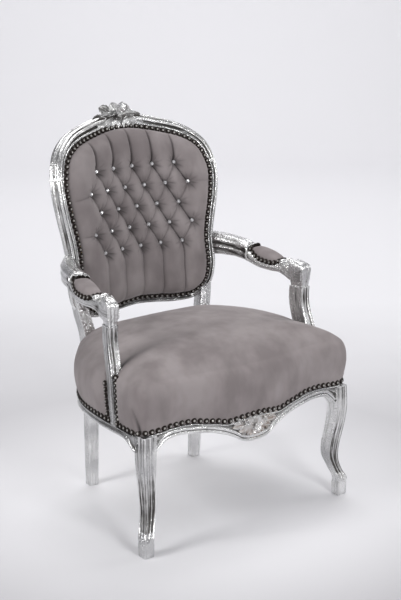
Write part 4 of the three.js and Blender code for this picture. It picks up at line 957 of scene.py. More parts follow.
def arm_stations(per_span):
    """Along the arm: middle x and y, top, bottom, half width, rounding, and how far it heads outwards."""
    root_z = ARM_HEIGHT + 0.56 * ARM_DEPTH
    root_x = back_half_width(root_z) + FRAME_OUTER
    root_y = back_face_y(root_x, root_z) + ARM_ROOT_LENGTH
    rows = smooth_rows(ARM_SHARES, per_span)
    x = mix(root_x, SEAT_WIDTH / 2 - ARM_INSET, rows[:, 1])
    y = mix(root_y, SUPPORT_TOP_Y - ARM_OVERHANG, rows[:, 0])
    top, bottom = ARM_HEIGHT + rows[:, 2] * ARM_DEPTH, ARM_HEIGHT + rows[:, 3] * ARM_DEPTH
    free = (1 - smooth_step(rows[:, 0], 0.7, 0.8)) * smooth_step(rows[:, 0], -0.05, 0.15)
    heading = -np.gradient(x, y) * free
    return np.column_stack([x, y, top, bottom, rows[:, 4] * ARM_WIDTH / 2, rows[:, 5], heading])


def evenly(points, count):
    """A closed outline read again at even steps."""
    closed = np.vstack([points, points[:1]])
    run = distances(closed)
    places = np.linspace(0, run[-1], count, endpoint=False)
    return np.column_stack([np.interp(places, run, closed[:, k]) for k in (0, 1)])


def fluted(points, first, last, flutes, depth):
    """The outline with rounded hollows side by side over a part of its round, given as shares."""
    count = len(points)
    along = np.roll(points, -1, 0) - np.roll(points, 1, 0)
    out = np.column_stack([along[:, 1], -along[:, 0]]) / np.linalg.norm(along, axis=1)[:, None]
    t = np.clip((np.arange(count) / count - first) / (last - first), 0, 1) * flutes
    return points - out * (depth * np.abs(np.sin(math.pi * t)) ** 0.75)[:, None]


def arm_outline(half, low, high, rounding):
    """The arm cut across, from the middle of its underside round to the left: dx and z."""
    height = high - low
    steep = high - (0.2 + rounding) * height
    side = [(0, low), (0.72 * half, low), (0.94 * half, low + 0.06 * height), (half, low + 0.16 * height),
            (half, steep)]
    for a in np.linspace(0.15, 1, 9):
        angle = a * math.pi / 2
        side.append((half * math.cos(angle) ** 0.7, steep + (high - steep) * math.sin(angle)))
    side = np.array(side)
    other = side[1:-1][::-1] * (-1, 1)
    return evenly(np.vstack([side, other]), 72)


# Height and size of the hand that turns down over the support
HAND_SHARES = (
    (-0.98, 0.84), (-0.7, 0.93), (-0.42, 1.02), (-0.1, 1.1), (0.08, 1.1), (0.2, 1.04), (0.28, 0.92),
    (0.33, 0.72), (0.355, 0.42), (0.36, 0.1),
)


def arm():
    stations = arm_stations(6)
    rings = []
    for i, (x, y, top, bottom, half, rounding, heading) in enumerate(stations):
        place = i / 6
        flute = ARM_FLUTE * float(1 - smooth_step(place, 3.3, 3.7))
        lip = ARM_LIP * math.exp(-((place - 3.35) / 0.22) ** 2)
        plain = arm_outline(half + lip, bottom - lip / 2, top + lip, rounding)
        ring = fluted(plain, 0.12, 0.88, ARM_FLUTES, flute)
        rings.append(np.column_stack([x + ring[:, 0], y + heading * ring[:, 0], ring[:, 1]]))
    whole = loft(rings)
    x, y = arm_stations(2)[PAD_SPANS[1] * 2 + 1][:2]
    for across in (-0.3, 0.3):
        roll = volute(SCROLL_RADIUS, ARM_WIDTH * 0.56)
        quarter = np.array(Matrix.Rotation(math.pi / 2, 3, "Z"))
        place = (x + across * ARM_WIDTH, y, ARM_HEIGHT + 0.16 * ARM_DEPTH)
        whole += roll.moved(lambda p: p @ quarter.T + place)
    hand = []
    for h, size in HAND_SHARES:
        section = support_section() * (SUPPORT_WIDTH / 2 * size, SUPPORT_DEPTH / 2 * size)
        flat = section + (SUPPORT_TOP_X, SUPPORT_TOP_Y)
        flat[:, 0] -= SUPPORT_TURN * section[:, 1]
        lean = 0.26 * section[:, 1] * float(smooth_step(h, -0.2, 0.2))
        hand.append(np.column_stack([flat, ARM_HEIGHT + h * ARM_DEPTH + lean]))
    return whole + loft(hand)


# Height share, place from joint to foot across and along, width share, depth share
SUPPORT_SHARES = [
    (0, 1, 1, 0.8, 0.72), (0.1, 0.94, 0.96, 0.86, 0.8), (0.23, 0.78, 0.84, 0.95, 0.92),
    (0.4, 0.52, 0.64, 1, 1), (0.57, 0.24, 0.36, 1.04, 1.06), (0.74, 0.05, 0.08, 1, 1.02),
    (0.87, 0, -0.04, 1, 1), (1, 0, 0, 1, 1),
]


def support_section():
    """The arm support cut across, half size 1, with flutes on its front and its outer side."""
    square = evenly(soft_square(24, 0.22), 96)
    return fluted(fluted(square, 0.64, 0.86, 3, 0.13), 0.03, 0.1, 1, 0.1)


def support():
    foot = seat_points(seat_station_at(SUPPORT_FOOT_Y), -SUPPORT_INSET, 0)[0]
    section = support_section()
    rings = []
    for h, across, along, width, depth in smooth_rows(SUPPORT_SHARES, 6):
        x, y = mix(SUPPORT_TOP_X, foot[0], across), mix(SUPPORT_TOP_Y, foot[1], along)
        flat = section * (width * SUPPORT_WIDTH / 2, depth * SUPPORT_DEPTH / 2)
        place = flat + (x, y)
        place[:, 0] -= SUPPORT_TURN * flat[:, 1]
        rings.append(np.column_stack([place, np.full(len(place), mix(MOULDING_TOP, ARM_JOINT, h))]))
    return loft(rings)


pair("arm_carved", arm(), SILVER, "silver_leaf", ["arm"])
pair("arm_support_carved", support(), SILVER, "silver_leaf", ["arm_support"])


# Tufted back

BACK_COVER_STEPS = 270


def button_places():
    """Row, number and place of each button: rows of five and six by turns."""
    return [(row, k, (k - (count - 1) / 2) * BUTTON_PITCH, BUTTON_MIDDLE + (2 - row) * BUTTON_ROW_STEP)
            for row in range(5) for count in (6 if row % 2 else 5,) for k in range(count)]


def creases():
    """Each pleat's ends, strength and bow: down to the next row, out to the sides, and to the frame."""
    lines = []
    spots = button_places()
    for row, k, x, z in spots:
        for low_row, _, low_x, low_z in spots:
            if low_row == row + 1 and abs(low_x - x) < 0.75 * BUTTON_PITCH:
                rightwards = low_x > x
                lines.append((x, z, low_x, low_z, 1.0 if rightwards else 0.62, 3.4 if rightwards else -1.0))
        if row == 0:
            lines.append((x, z, x - 2, z + BACK_HEIGHT, 0.95, 2.0))
        if row == 4:
            lines.append((x, z, x + 1, z - BACK_HEIGHT, 0.9, -2.0))
        if row % 2 and k in (0, 5):
            side = 1 if k else -1
            drop = 14 * BACK_WIDTH / 90 * (side < 0) * (row == 1)
            lines.append((x, z, x + side * BACK_WIDTH, z - drop, 0.55, 0.0))
    return lines


def back_cover_height(x, z, inside):
    """How far the velvet stands in front of the nail line, and the painted shade in its creases, round its
    buttons and towards the left, from 0 to 1.
    """
    reach = np.clip((inside - COVER_FLANGE) / BACK_EDGE_ROLL, 0, 1)
    roll = (1 - (1 - reach) ** BACK_EDGE_POWER) ** (1 / BACK_EDGE_POWER)
    spots = button_places()
    near = np.min([np.hypot(x - bx, z - bz) for _, _, bx, bz in spots], axis=0)
    drops, step, fold = np.zeros_like(x), np.zeros_like(x), np.zeros_like(x)
    for x1, z1, x2, z2, strength, bow in creases():
        dx, dz = x2 - x1, z2 - z1
        length = math.hypot(dx, dz)
        t = ((x - x1) * dx + (z - z1) * dz) / length ** 2
        held = np.clip(t, 0, 1)
        bend = bow * np.sin(math.pi * np.clip(t * length / BUTTON_PITCH, 0, 1))
        off = ((x - x1) * dz - (z - z1) * dx) / length - bend
        beyond = (t - held) * length
        away = np.hypot(off, beyond)
        deep = strength * (PLEAT_DEPTH + PLEAT_DEPTH_AT_BUTTON * np.exp(-(near / 24) ** 2))
        drop = deep * (0.6 * np.exp(-away / 2.2) + 0.95 * np.exp(-(away / 16) ** 2))
        drops += drop ** 3
        beside = np.exp(-(beyond / 4) ** 2)
        step += PLEAT_STEP * strength * np.tanh(off / 1.2) * np.exp(-(away / 7) ** 2) * beside
        # Painted shade along each crease, strongest near the buttons, and a broader painted shade beside it.
        line = np.exp(-(away / 1.9) ** 2) * (0.5 + 0.5 * np.exp(-(near / 22) ** 2))
        valley = 0.34 * np.exp(-np.abs(off - 3) / 9) * (0.35 + 0.65 * np.exp(-(near / 30) ** 2))
        fold = np.maximum(fold, strength ** 2 * (line + valley * beside))
    wrinkles = np.zeros_like(x)
    for row, k, bx, bz in spots:
        r = np.hypot(x - bx, z - bz)
        angle = np.arctan2(z - bz, x - bx)
        drops += ((BACK_PUFF - BUTTON_SEAT) * np.exp(-(r / 12.5) ** 1.5)) ** 3
        # Painted shadow round each button, smudged to its lower right, with thin rays of painted shade round
        # it.
        fold = np.maximum(fold, 0.5 * np.exp(-(r / 9) ** 2))
        well_shadow = np.exp(-(np.hypot(x - bx - 6, z - bz + 7) / 13) ** 2)
        ray_shade = np.clip(np.cos(9 * angle + 2.1 * row + 1.3 * k), 0, 1) ** 2 * np.exp(-((r - 17) / 9) ** 2)
        fold = np.maximum(fold, 0.62 * well_shadow + 0.26 * ray_shade)
        ray = np.cos(7 * angle + 1.7 * row + 2.3 * k) + 0.6 * np.cos(11 * angle + 3.1 * k - row)
        wrinkles += 0.9 * ray * np.exp(-((r - 15) / 9) ** 2)
    height = BACK_PUFF - drops ** (1 / 3) + step + wrinkles
    # Painted shade: the back's velvet is darker towards the left.
    nap_and_left_shade = 0.16 * smooth_step(-x, -0.3 * BACK_WIDTH, 0.4 * BACK_WIDTH)
    return height * roll, np.clip(0.85 * fold * np.clip(reach * 6, 0, 1) + nap_and_left_shade, 0, 1)


def outline_reach(angle):
    """How far the nail line is from the middle of the back in a direction."""
    ring = back_outline.at(np.linspace(0, back_outline.count, 1500, endpoint=False)) - (0, BACK_MIDDLE)
    turn = np.arctan2(ring[:, 1], ring[:, 0])
    order = np.argsort(turn)
    return np.interp(angle, turn[order], np.hypot(*ring.T)[order], period=2 * math.pi)


def inside_distance(x, z):
    ring = back_outline.at(np.linspace(0, back_outline.count, 1200, endpoint=False))
    spots = zip(x.ravel(), z.ravel())
    return np.array([np.min(np.hypot(px - ring[:, 0], pz - ring[:, 1])) for px, pz in spots])


# How far the closed rear of the cover goes past the nail line, and how far behind it
COVER_REAR = ((4.5, -0.8), (4.5, 2.0), (-60, 2.0), (-130, 2.4))
COVER_REAR_MIDDLE = 2.6


def back_cover():
    """The velvet of the back: a net with the pleats and wells in it, closed by a flat rear, and its painted
    fold shade.
    """
    steps = BACK_COVER_STEPS
    a, b = np.meshgrid(np.linspace(-1, 1, steps + 1), np.linspace(-1, 1, steps + 1), indexing="ij")
    share = np.maximum(np.abs(a), np.abs(b))
    angle = np.arctan2(b, a)
    reach = outline_reach(angle)
    x, z = share * reach * np.cos(angle), BACK_MIDDLE + share * reach * np.sin(angle)
    inside = inside_distance(x, z).reshape(x.shape)
    lump = np.array([noise.noise((px / 60, pz / 60, 3.0)) + 0.4 * noise.noise((px / 17, pz / 17, 8.0))
                     for px, pz in zip(x.ravel(), z.ravel())]).reshape(x.shape)
    height, fold = back_cover_height(x, z, inside)
    height += 1.3 * lump * np.clip(inside / 30, 0, 1)
    front = on_back(x, z, -COVER_STAND - height).reshape(-1, 3)
    index = np.arange((steps + 1) ** 2).reshape(steps + 1, steps + 1)
    faces = [(index[i, j], index[i + 1, j], index[i + 1, j + 1], index[i, j + 1])
             for i in range(steps) for j in range(steps)]
    border = np.concatenate([index[:-1, 0], index[-1, :-1], index[:0:-1, -1], index[0, :0:-1]])
    bx, bz = x.ravel()[border], z.ravel()[border] - BACK_MIDDLE
    out = np.hypot(bx, bz)
    vertices = [front]
    last = border
    for grow, depth in COVER_REAR:
        size = (out + grow) / out
        ring = on_back(bx * size, BACK_MIDDLE + bz * size, depth)
        start = sum(len(v) for v in vertices)
        vertices.append(ring)
        own = np.arange(start, start + len(border))
        faces += zip(last, np.roll(last, -1), np.roll(own, -1), own)
        last = own
    middle = sum(len(v) for v in vertices)
    vertices.append(on_back(0, BACK_MIDDLE, COVER_REAR_MIDDLE).reshape(1, 3))
    faces += [(a, b, middle) for a, b in zip(last, np.roll(last, -1))]
    points = np.vstack(vertices)
    fold_shades = np.zeros(len(points))
    fold_shades[:fold.size] = fold.ravel()
    return outward(Shape(points, [tuple(int(i) for i in face) for face in faces])), fold_shades


def back_basis(x, z):
    """Directions along the back to the right and up, and out of its face."""
    middle = on_back(x, z, 0)
    right, up, out = on_back(x + 1, z, 0) - middle, on_back(x, z + 1, 0) - middle, on_back(x, z, -1) - middle
    return np.stack([v / np.linalg.norm(v) for v in (right, up, out)])


# Width share of each ring of a crystal in its cup, and its height
BUTTON_SHARES = ((0.35, -0.5), (1.0, 1.2), (1.04, 2.2), (0.96, 2.9), (0.62, 5.2), (0.5, 5.6), (0.02, 5.7))
BUTTON_FACETS = 8


def cut_button(x, z):
    """A faceted crystal in a low cup."""
    rings = []
    for k, (size, high) in enumerate(BUTTON_SHARES):
        a = np.linspace(0, 2 * math.pi, BUTTON_FACETS, endpoint=False) + (math.pi / 8 if k == 4 else 0)
        reach = BUTTON_WIDTH / 2 * size
        rings.append(np.column_stack([reach * np.cos(a), reach * np.sin(a), np.full(BUTTON_FACETS, high)]))
    base = on_back(x, z, -BUTTON_SEAT)
    basis = back_basis(x, z)
    return loft(rings).moved(lambda p: p @ basis + base)


shape, fold_shades = back_cover()
cover = make_piece("back_cover_tufted", shape, VELVET, "velvet", ["back_cushion"], crease=75)
keep_values(cover, "fold", fold_shades)
for row, k, x, z in button_places():
    make_piece(f"crystal_button_{row + 1}_{k + 1}", cut_button(x, z), CRYSTAL, "crystal",
               [f"tuft_button_{row + 1}_{k + 1}"], crease=12)


def outside_panel():
    """The velvet on the outside of the back, lightly padded."""
    rings = []
    count = 200
    angle = np.linspace(0, 2 * math.pi, count, endpoint=False)
    reach = outline_reach(angle) - COVER_REBATE_EDGE - 1
    floor = FRAME_THICKNESS - COVER_REBATE + 0.6
    rows = [(0.02, 0), (0.5, 0), (1, 0)]
    rows += [(1 - 0.13 * (1 - math.cos(a)), 1.8 + 2.6 * math.sin(a)) for a in np.linspace(0, 1.4, 7)]
    rows += [(0.72, 5.2), (0.55, 5.8), (0.35, 6), (0.15, 6), (0.02, 6)]
    for share, rise in rows:
        x, z = share * reach * np.cos(angle), BACK_MIDDLE + share * reach * np.sin(angle)
        rings.append(on_back(x, z, floor + rise))
    return loft(rings)


panel = make_piece("outside_back_velvet", outside_panel(), VELVET, "velvet", ["outside_back_panel"],
                   crease=60)


# Seat cushion

SEAT_WALL_SHARES = [
    (-0.04, 0), (0.2, 0.07), (0.55, 0.17), (0.92, 0.37), (1, 0.57), (0.7, 0.76), (-0.1, 0.91), (-1.2, 1),
]
SEAT_TOP_SHARES = [(0, 0), (0.06, 0.26), (0.18, 0.54), (0.38, 0.79), (0.62, 0.94), (0.85, 0.99), (0.985, 1)]
SEAT_OVAL = 0.94
SEAT_WALL_LOW = MOULDING_TOP + 0.5 + NAIL_WIDTH / 2
PLEAT_STATION = 4.2
PLEAT_HEIGHT = 64
PLEAT_SLANT = 16
SUPPORT_PULL = 8
SUPPORT_PULL_WIDTH = 20
SUPPORT_PULL_REACH = 65
VALLEY_SHADE = 0.95
VALLEY_WIDTH = 13
VALLEY_REACH = 95


def support_at(z):
    """Middle and half sizes of the right arm support at a height."""
    rise = np.clip((np.asarray(z, float) - MOULDING_TOP) / (ARM_JOINT - MOULDING_TOP), 0, 1)
    table = np.array(SUPPORT_SHARES)
    across, along, width, depth = (np.interp(rise, table[:, 0], table[:, k]) for k in range(1, 5))
    foot = seat_points(seat_station_at(SUPPORT_FOOT_Y), -SUPPORT_INSET, 0)[0]
    return (mix(SUPPORT_TOP_X, foot[0], across), mix(SUPPORT_TOP_Y, foot[1], along),
            width * SUPPORT_WIDTH / 2, depth * SUPPORT_DEPTH / 2)


def round_supports(points, edge_x):
    """Cuts the cover in round the arm supports and draws it down towards them."""
    x, y, z = points.T
    support_x, support_y, half_wide, half_deep = support_at(z)
    away = np.abs(y - support_y)
    across = np.abs(x) - support_x + SUPPORT_TURN * (y - support_y)
    slot = np.where(z < RAIL_TOP + 3, np.maximum(-half_wide - 1.5, edge_x - 8 - support_x), -half_wide - 1.5)
    beside = half_wide - np.where(y > support_y, 2, 11) + 0.45 * (away - half_deep)
    beside = beside + 200 * smooth_step(away, 60, 120)
    limit = mix(slot, beside, smooth_step(away, half_deep + 0.5, half_deep + 4))
    held = -3 * np.logaddexp(-across / 3, -limit / 3)
    inwards = np.maximum(support_x - half_wide - np.abs(x), 0)
    pull = SUPPORT_PULL * np.exp(-((y - support_y) / SUPPORT_PULL_WIDTH) ** 2)
    pull = pull * np.exp(-inwards / SUPPORT_PULL_REACH)
    pull = pull * smooth_step(z, SEAT_EDGE - 40, SEAT_EDGE + 5)
    moved = points.copy()
    moved[:, 0] = np.sign(x) * (held + support_x - SUPPORT_TURN * (y - support_y))
    moved[:, 2] -= pull
    return moved


def support_valley_shade(points):
    """The painted shade in the valley that runs inwards from each arm support."""
    x, y, z = points.T
    support_x, _, half_wide, _ = support_at(z)
    inwards = np.clip(support_x - half_wide - np.abs(x), 0, None)
    middle = SUPPORT_FOOT_Y + 12 + 0.05 * inwards
    width = VALLEY_WIDTH + 0.1 * inwards
    valley = VALLEY_SHADE * np.exp(-((y - middle) / width) ** 2) * np.exp(-inwards / VALLEY_REACH)
    return valley * smooth_step(z, SEAT_EDGE - 30, SEAT_EDGE)


def seat_stations(count):
    """Stations round the seat, closer together at the arm supports and the front corners."""
    stations = np.linspace(0, seat_outline.count, 4001)
    places = seat_outline.at(stations)
    step = np.linalg.norm(np.diff(places, axis=0), axis=1)
    x, y = np.abs(places[:-1, 0]), places[:-1, 1]
    middle = (SUPPORT_FOOT_Y + SUPPORT_TOP_Y) / 2
    near_support = (x > 0.4 * SEAT_WIDTH) * (1 - smooth_step(np.abs(y - middle), 40, 70))
    near_corner = 1 - smooth_step(np.hypot(x - 0.47 * SEAT_WIDTH, y + 0.44 * SEAT_DEPTH), 40, 80)
    run = np.concatenate([[0], np.cumsum(step * (1 + 3 * near_support + 3 * near_corner))])
    return np.interp(np.linspace(0, run[-1], count, endpoint=False), run, stations)


def corner_pleat(stations, z):
    """The folded pleat at each front corner: how far it is pressed in, and the painted shade in its fold."""
    up = (z - SEAT_WALL_LOW) / PLEAT_HEIGHT
    if not -0.2 < up < 1:
        return np.zeros(len(stations)), np.zeros(len(stations))
    fine = np.linspace(0, seat_outline.count, 2001)
    arc = distances(seat_outline.at(fine))
    place = np.interp(stations, fine, arc)
    press, fold = np.zeros(len(stations)), np.zeros(len(stations))
    for side in (-1, 1):
        station = PLEAT_STATION if side > 0 else seat_outline.count - PLEAT_STATION
        off = side * (place - np.interp(station, fine, arc)) - PLEAT_SLANT * max(up, 0) ** 2
        fade = (1 - max(up, 0)) ** 0.7
        near = np.abs(off)
        press += fade * (5 * np.exp(-near / 2) - 2.4 * np.tanh(off / 1.5) * np.exp(-(near / 11) ** 2))
        fold += fade * np.exp(-(off / 3.0) ** 2)
    return press, fold


def seat_cover():
    """The velvet drawn over the seat, pleated and cut out round the arm supports, and the painted shade in
    its pleats and valleys.
    """
    stations = seat_stations(440)
    edge = seat_points(stations, 0, 0)
    rise = nail_line_rise(edge[:, 0], edge[:, 1])
    towards_back = smooth_step(edge[:, 1], POST_SEAT_Y - 100, POST_SEAT_Y)
    rings, fold_shades = [], []
    inner = -RAIL_SETBACK - 2
    for z, out in ((RAIL_TOP + 4, inner), (MOULDING_TOP + 1, inner), (MOULDING_TOP + 0.6, -0.8)):
        rings.append(seat_points(stations, out, z + rise * (z < RAIL_TOP)))
        fold_shades.append(np.zeros(len(stations)))
    for bulge, h in smooth_rows(SEAT_WALL_SHARES, 4):
        z = mix(SEAT_WALL_LOW, SEAT_EDGE, h)
        press, fold = corner_pleat(stations, z)
        swell = bulge * SEAT_BULGE * (mix(1, 0.2, towards_back) if bulge > 0 else 1)
        rings.append(seat_points(stations, swell - press, z + rise * (1 - h) ** 2))
        fold_shades.append(fold)
    rim = rings[-1]
    for inward, up in smooth_rows(SEAT_TOP_SHARES, 5)[1:]:
        spoke = rim[:, :2]
        reach = np.hypot(2 * spoke[:, 0] / SEAT_WIDTH, 2 * spoke[:, 1] / SEAT_DEPTH)
        oval = spoke * (SEAT_OVAL / reach)[:, None]
        flat = mix(spoke, oval, inward) * (1 - inward)
        rings.append(np.column_stack([flat, np.full(len(flat), mix(SEAT_EDGE, SEAT_CROWN, up))]))
        fold_shades.append(np.zeros(len(stations)))
    rings = [round_supports(ring, np.abs(edge[:, 0])) for ring in rings]
    fold_shades = [np.maximum(fold, support_valley_shade(ring)) for fold, ring in zip(fold_shades, rings)]
    return loft(rings), np.concatenate(fold_shades)


shape, fold_shades = seat_cover()
seat = make_piece("seat_cover_padded", shape, VELVET, "velvet", ["seat_cushion"], crease=60)
keep_values(seat, "fold", fold_shades)


# Arm pads

PAD_SHARES = [
    (0.12, 0.64, 0), (0.78, 0.9, 0.26), (0.96, 1, 0.38), (1, 0.98, 0.38), (0.9, 0.88, 0.38), (0.62, 0.7, 0.3),
    (0.12, 0.42, 0.1),
]


def pad_stations():
    """Middle, crown, half width, edge height, underside and heading of the pad along the arm."""
    arms = arm_stations(2)
    nearest = arms[PAD_SPANS[1] * 2 + 1][1] + SCROLL_RADIUS + 4
    rows = []
    for (rise, wide, drape), (x, y, top, bottom, _, _, heading) in zip(PAD_SHARES, arms[PAD_SPANS[0] * 2:]):
        edge = top - drape * (top - bottom)
        rows.append((x, max(y, nearest), top + rise * PAD_RISE, wide * PAD_WIDTH / 2, edge, heading))
    return np.array(rows)


def arm_pad():
    rings = []
    rows = smooth_rows(pad_stations(), 5)
    ends = [0.35, 0.75] + [1] * (len(rows) - 4) + [0.75, 0.35]
    for (x, y, crown, wide, edge, heading), size in zip(rows, ends):
        ring = [(-wide * 0.9, edge - 2), (0, edge - 4), (wide * 0.9, edge - 2)]
        for a in np.linspace(0, math.pi, 25):
            out, high = math.cos(a), math.sin(a)
            dx = wide * math.copysign(abs(out) ** 0.72, out) * (0.985 + 0.03 * high)
            ring.append((dx, mix(edge, crown, size * high ** 0.62)))
        rings.append([(x + dx, y + heading * dx, z) for dx, z in ring])
    return loft(rings)


for pad in pair("arm_pad_velvet", arm_pad(), VELVET, "velvet", ["arm_pad"], crease=50):
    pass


# Nails

def along_path(points, pitch, loop=False):
    """Places at even steps along a line of points."""
    if loop:
        points = np.vstack([points, points[:1]])
    run = distances(points)
    count = max(round(run[-1] / pitch), 1)
    places = np.linspace(0, run[-1], count, endpoint=False) if loop else np.linspace(0, run[-1], count + 1)
    return np.column_stack([np.interp(places, run, points[:, k]) for k in range(3)])


# Size and height of each ring of a nail's head, and how far up the dome it counts
NAIL_SHARES = (
    (0.86, -0.25, 0.0), (1.0, 0.0, 0.0), (0.97, 0.2, 0.1), (0.84, 0.52, 0.45), (0.6, 0.8, 0.75),
    (0.3, 0.96, 0.95),
)


def nail_row(places, outs):
    """Domed nails, each a little askew as a hand drives them."""
    draw = random.Random(17)
    turn = np.linspace(0, 2 * math.pi, NAIL_SIDES, endpoint=False)
    vertices, faces, dome = [], [], []
    for place, out in zip(places, outs):
        out = np.asarray(out, float) + [draw.gauss(0, 0.07) for _ in range(3)]
        out /= np.linalg.norm(out)
        side = np.cross(out, (0.3, 0.2, 1.0))
        side /= np.linalg.norm(side)
        up = np.cross(out, side)
        start = len(vertices)
        for size, high, level in NAIL_SHARES:
            for a in turn:
                around = (side * math.cos(a) + up * math.sin(a)) * NAIL_WIDTH / 2 * size
                vertices.append(place + around + out * high * NAIL_DOME)
                dome.append(level)
        vertices.append(place + out * NAIL_DOME)
        dome.append(1.0)
        top = start + len(NAIL_SHARES) * NAIL_SIDES
        for low in range(start, top - NAIL_SIDES, NAIL_SIDES):
            for i in range(NAIL_SIDES):
                a, b = low + i, low + (i + 1) % NAIL_SIDES
                faces.append((a, b, b + NAIL_SIDES, a + NAIL_SIDES))
        rim = top - NAIL_SIDES
        faces += [(rim + i, rim + (i + 1) % NAIL_SIDES, top) for i in range(NAIL_SIDES)]
        faces.append(tuple(start + i for i in range(NAIL_SIDES))[::-1])
    return Shape(vertices, faces), dome


def make_nails(name, rows, replaces=()):
    """One piece from several rows of nails."""
    whole, domes = Shape(), []
    for places, outs in rows:
        shape, dome = nail_row(places, outs)
        whole += shape
        domes += dome
    keep_values(make_piece(name, whole, BRONZE, "bronze", replaces), "dome", domes)


def back_nails(out, depth, facing, lean=0):
    """Places and directions of nails round the back, which lean away from the cover by a share."""
    ring = frame_points(np.linspace(0, back_outline.count, 900, endpoint=False), out, depth)
    places = along_path(ring, BACK_NAIL_PITCH, loop=True)
    outs = []
    for x, _, z in places:
        reach = math.hypot(x, z - BACK_MIDDLE)
        aside = on_back(x + x / reach, z + (z - BACK_MIDDLE) / reach, 0) - on_back(x, z, 0)
        outs.append(on_back(x, z, facing) - on_back(x, z, 0) + lean * aside)
    return places, outs


def seat_nails(start, end):
    stations = np.linspace(start, end, 400)
    flat = seat_points(stations, 0.4, 0)
    flat[:, 2] = SEAT_WALL_LOW - 0.5 + nail_line_rise(flat[:, 0], flat[:, 1])
    places = along_path(flat, SEAT_NAIL_PITCH)
    outs = []
    for place in places:
        nearest = stations[np.argmin(np.hypot(flat[:, 0] - place[0], flat[:, 1] - place[1]))]
        outs.append([*seat_outline.out(nearest)[0], 0.1])
    return places, outs


def support_nails(side, high):
    """A row up the cover beside an arm support, in front of it or behind it."""
    z = np.linspace(SEAT_WALL_LOW + 13, SEAT_WALL_LOW + high, 30)
    support_x, support_y, half_wide, half_deep = support_at(z)
    away = half_deep + 7.5
    x = support_x + half_wide - 4 + 5 * side - SUPPORT_TURN * side * away
    places = along_path(np.column_stack([x, support_y + side * away, z]), SUPPORT_NAIL_PITCH)
    return places, [(1, 0.45 * side - 0.35, 0.1)] * len(places)


def pad_nails():
    rows = smooth_rows(pad_stations(), 4)
    right = [(x + wide + 0.5, y + heading * wide, edge + 4) for x, y, _, wide, edge, heading in rows]
    left = [(x - wide - 0.5, y - heading * wide, edge + 4) for x, y, _, wide, edge, heading in rows]
    places = along_path(np.array(right + left[::-1]), PAD_NAIL_PITCH, loop=True)
    outs = []
    for place in places:
        k = np.argmin(np.abs(rows[:, 1] - place[1]))
        end = -1 if k == len(rows) - 1 else 1 if k == 0 else 0
        outs.append((place[0] - rows[k, 0], end * 20, 6))
    return places, outs


def nail_pair(name, rows, node):
    """Rows of nails on the right of the chair, and their mirror images on the left."""
    for side, way in (("right", (1, 1, 1)), ("left", (-1, 1, 1))):
        own = [(places * way, np.asarray(outs, float) * way) for places, outs in rows]
        make_nails(f"{name}_{side}", own, [f"{node}_{side}"])


front_end = float(seat_station_at(SUPPORT_FOOT_Y - SUPPORT_DEPTH * 0.42))
side_start = float(seat_station_at(SUPPORT_FOOT_Y + SUPPORT_DEPTH * 0.42))
side_end = float(seat_station_at(POST_SEAT_Y - POST_WIDTH * 0.75))
front_row = back_nails(0.4, -BACK_NAIL_STAND - COVER_STAND, -1, BACK_NAIL_LEAN)
make_nails("back_nails", [front_row], ["back_nail_row"])
make_nails("outside_back_nails", [back_nails(-COVER_REBATE_EDGE - 8, FRAME_THICKNESS + 0.6, 1)])
make_nails("seat_front_nails", [seat_nails(-front_end, front_end)], ["front_nail_row"])
side_rows = [seat_nails(side_start, side_end), support_nails(-1, SUPPORT_NAILS_FRONT),
             support_nails(1, SUPPORT_NAILS_REAR)]
nail_pair("seat_side_nails", side_rows, "side_nail_row")
seat_back = seat_outline.count / 2
make_nails("seat_back_nails", [seat_nails(seat_back - BACK_NAILS_REACH, seat_back + BACK_NAILS_REACH)])
nail_pair("arm_pad_nails", [pad_nails()], "arm_pad_nail_row")


# Hidden pieces that keep their own shape

hidden = {"back_rail": BEECH, "seat_webbing": JUTE, "back_cloth": JUTE, "dust_cover": BLACK_CLOTH}
for side in ("right", "left"):
    hidden.update({f"front_corner_block_{side}": BEECH, f"rear_corner_block_{side}": BEECH})
for node, finish in hidden.items():
    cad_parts[node].material_slots[0].material = finish


# Studio

scene = bpy.context.scene
scene.view_settings.view_transform = "Standard"


# Heights from straight down at 0 to straight up at 1, with the light that comes from there
SKY_SHADES = ((0.0, 0.5), (0.6, 0.74), (0.73, 0.25), (0.91, 0.25), (0.97, 0.8))
SKY_BLUE = 1.02
SKY_BEHIND = 0.42
SKY_BEHIND_DIRECTION = (0, 0.5, -0.45)
# The floor's half width, where it turns up, how sharply, and how high the wall goes, in metres
FLOOR_REACH = 30
COVE_START = 5.0
COVE_RADIUS = 1.5
WALL_HEIGHT = 6.0
CAMERA_TURN = math.radians(-37)
FLOOR_AHEAD = (0.604, 0.797, 0)


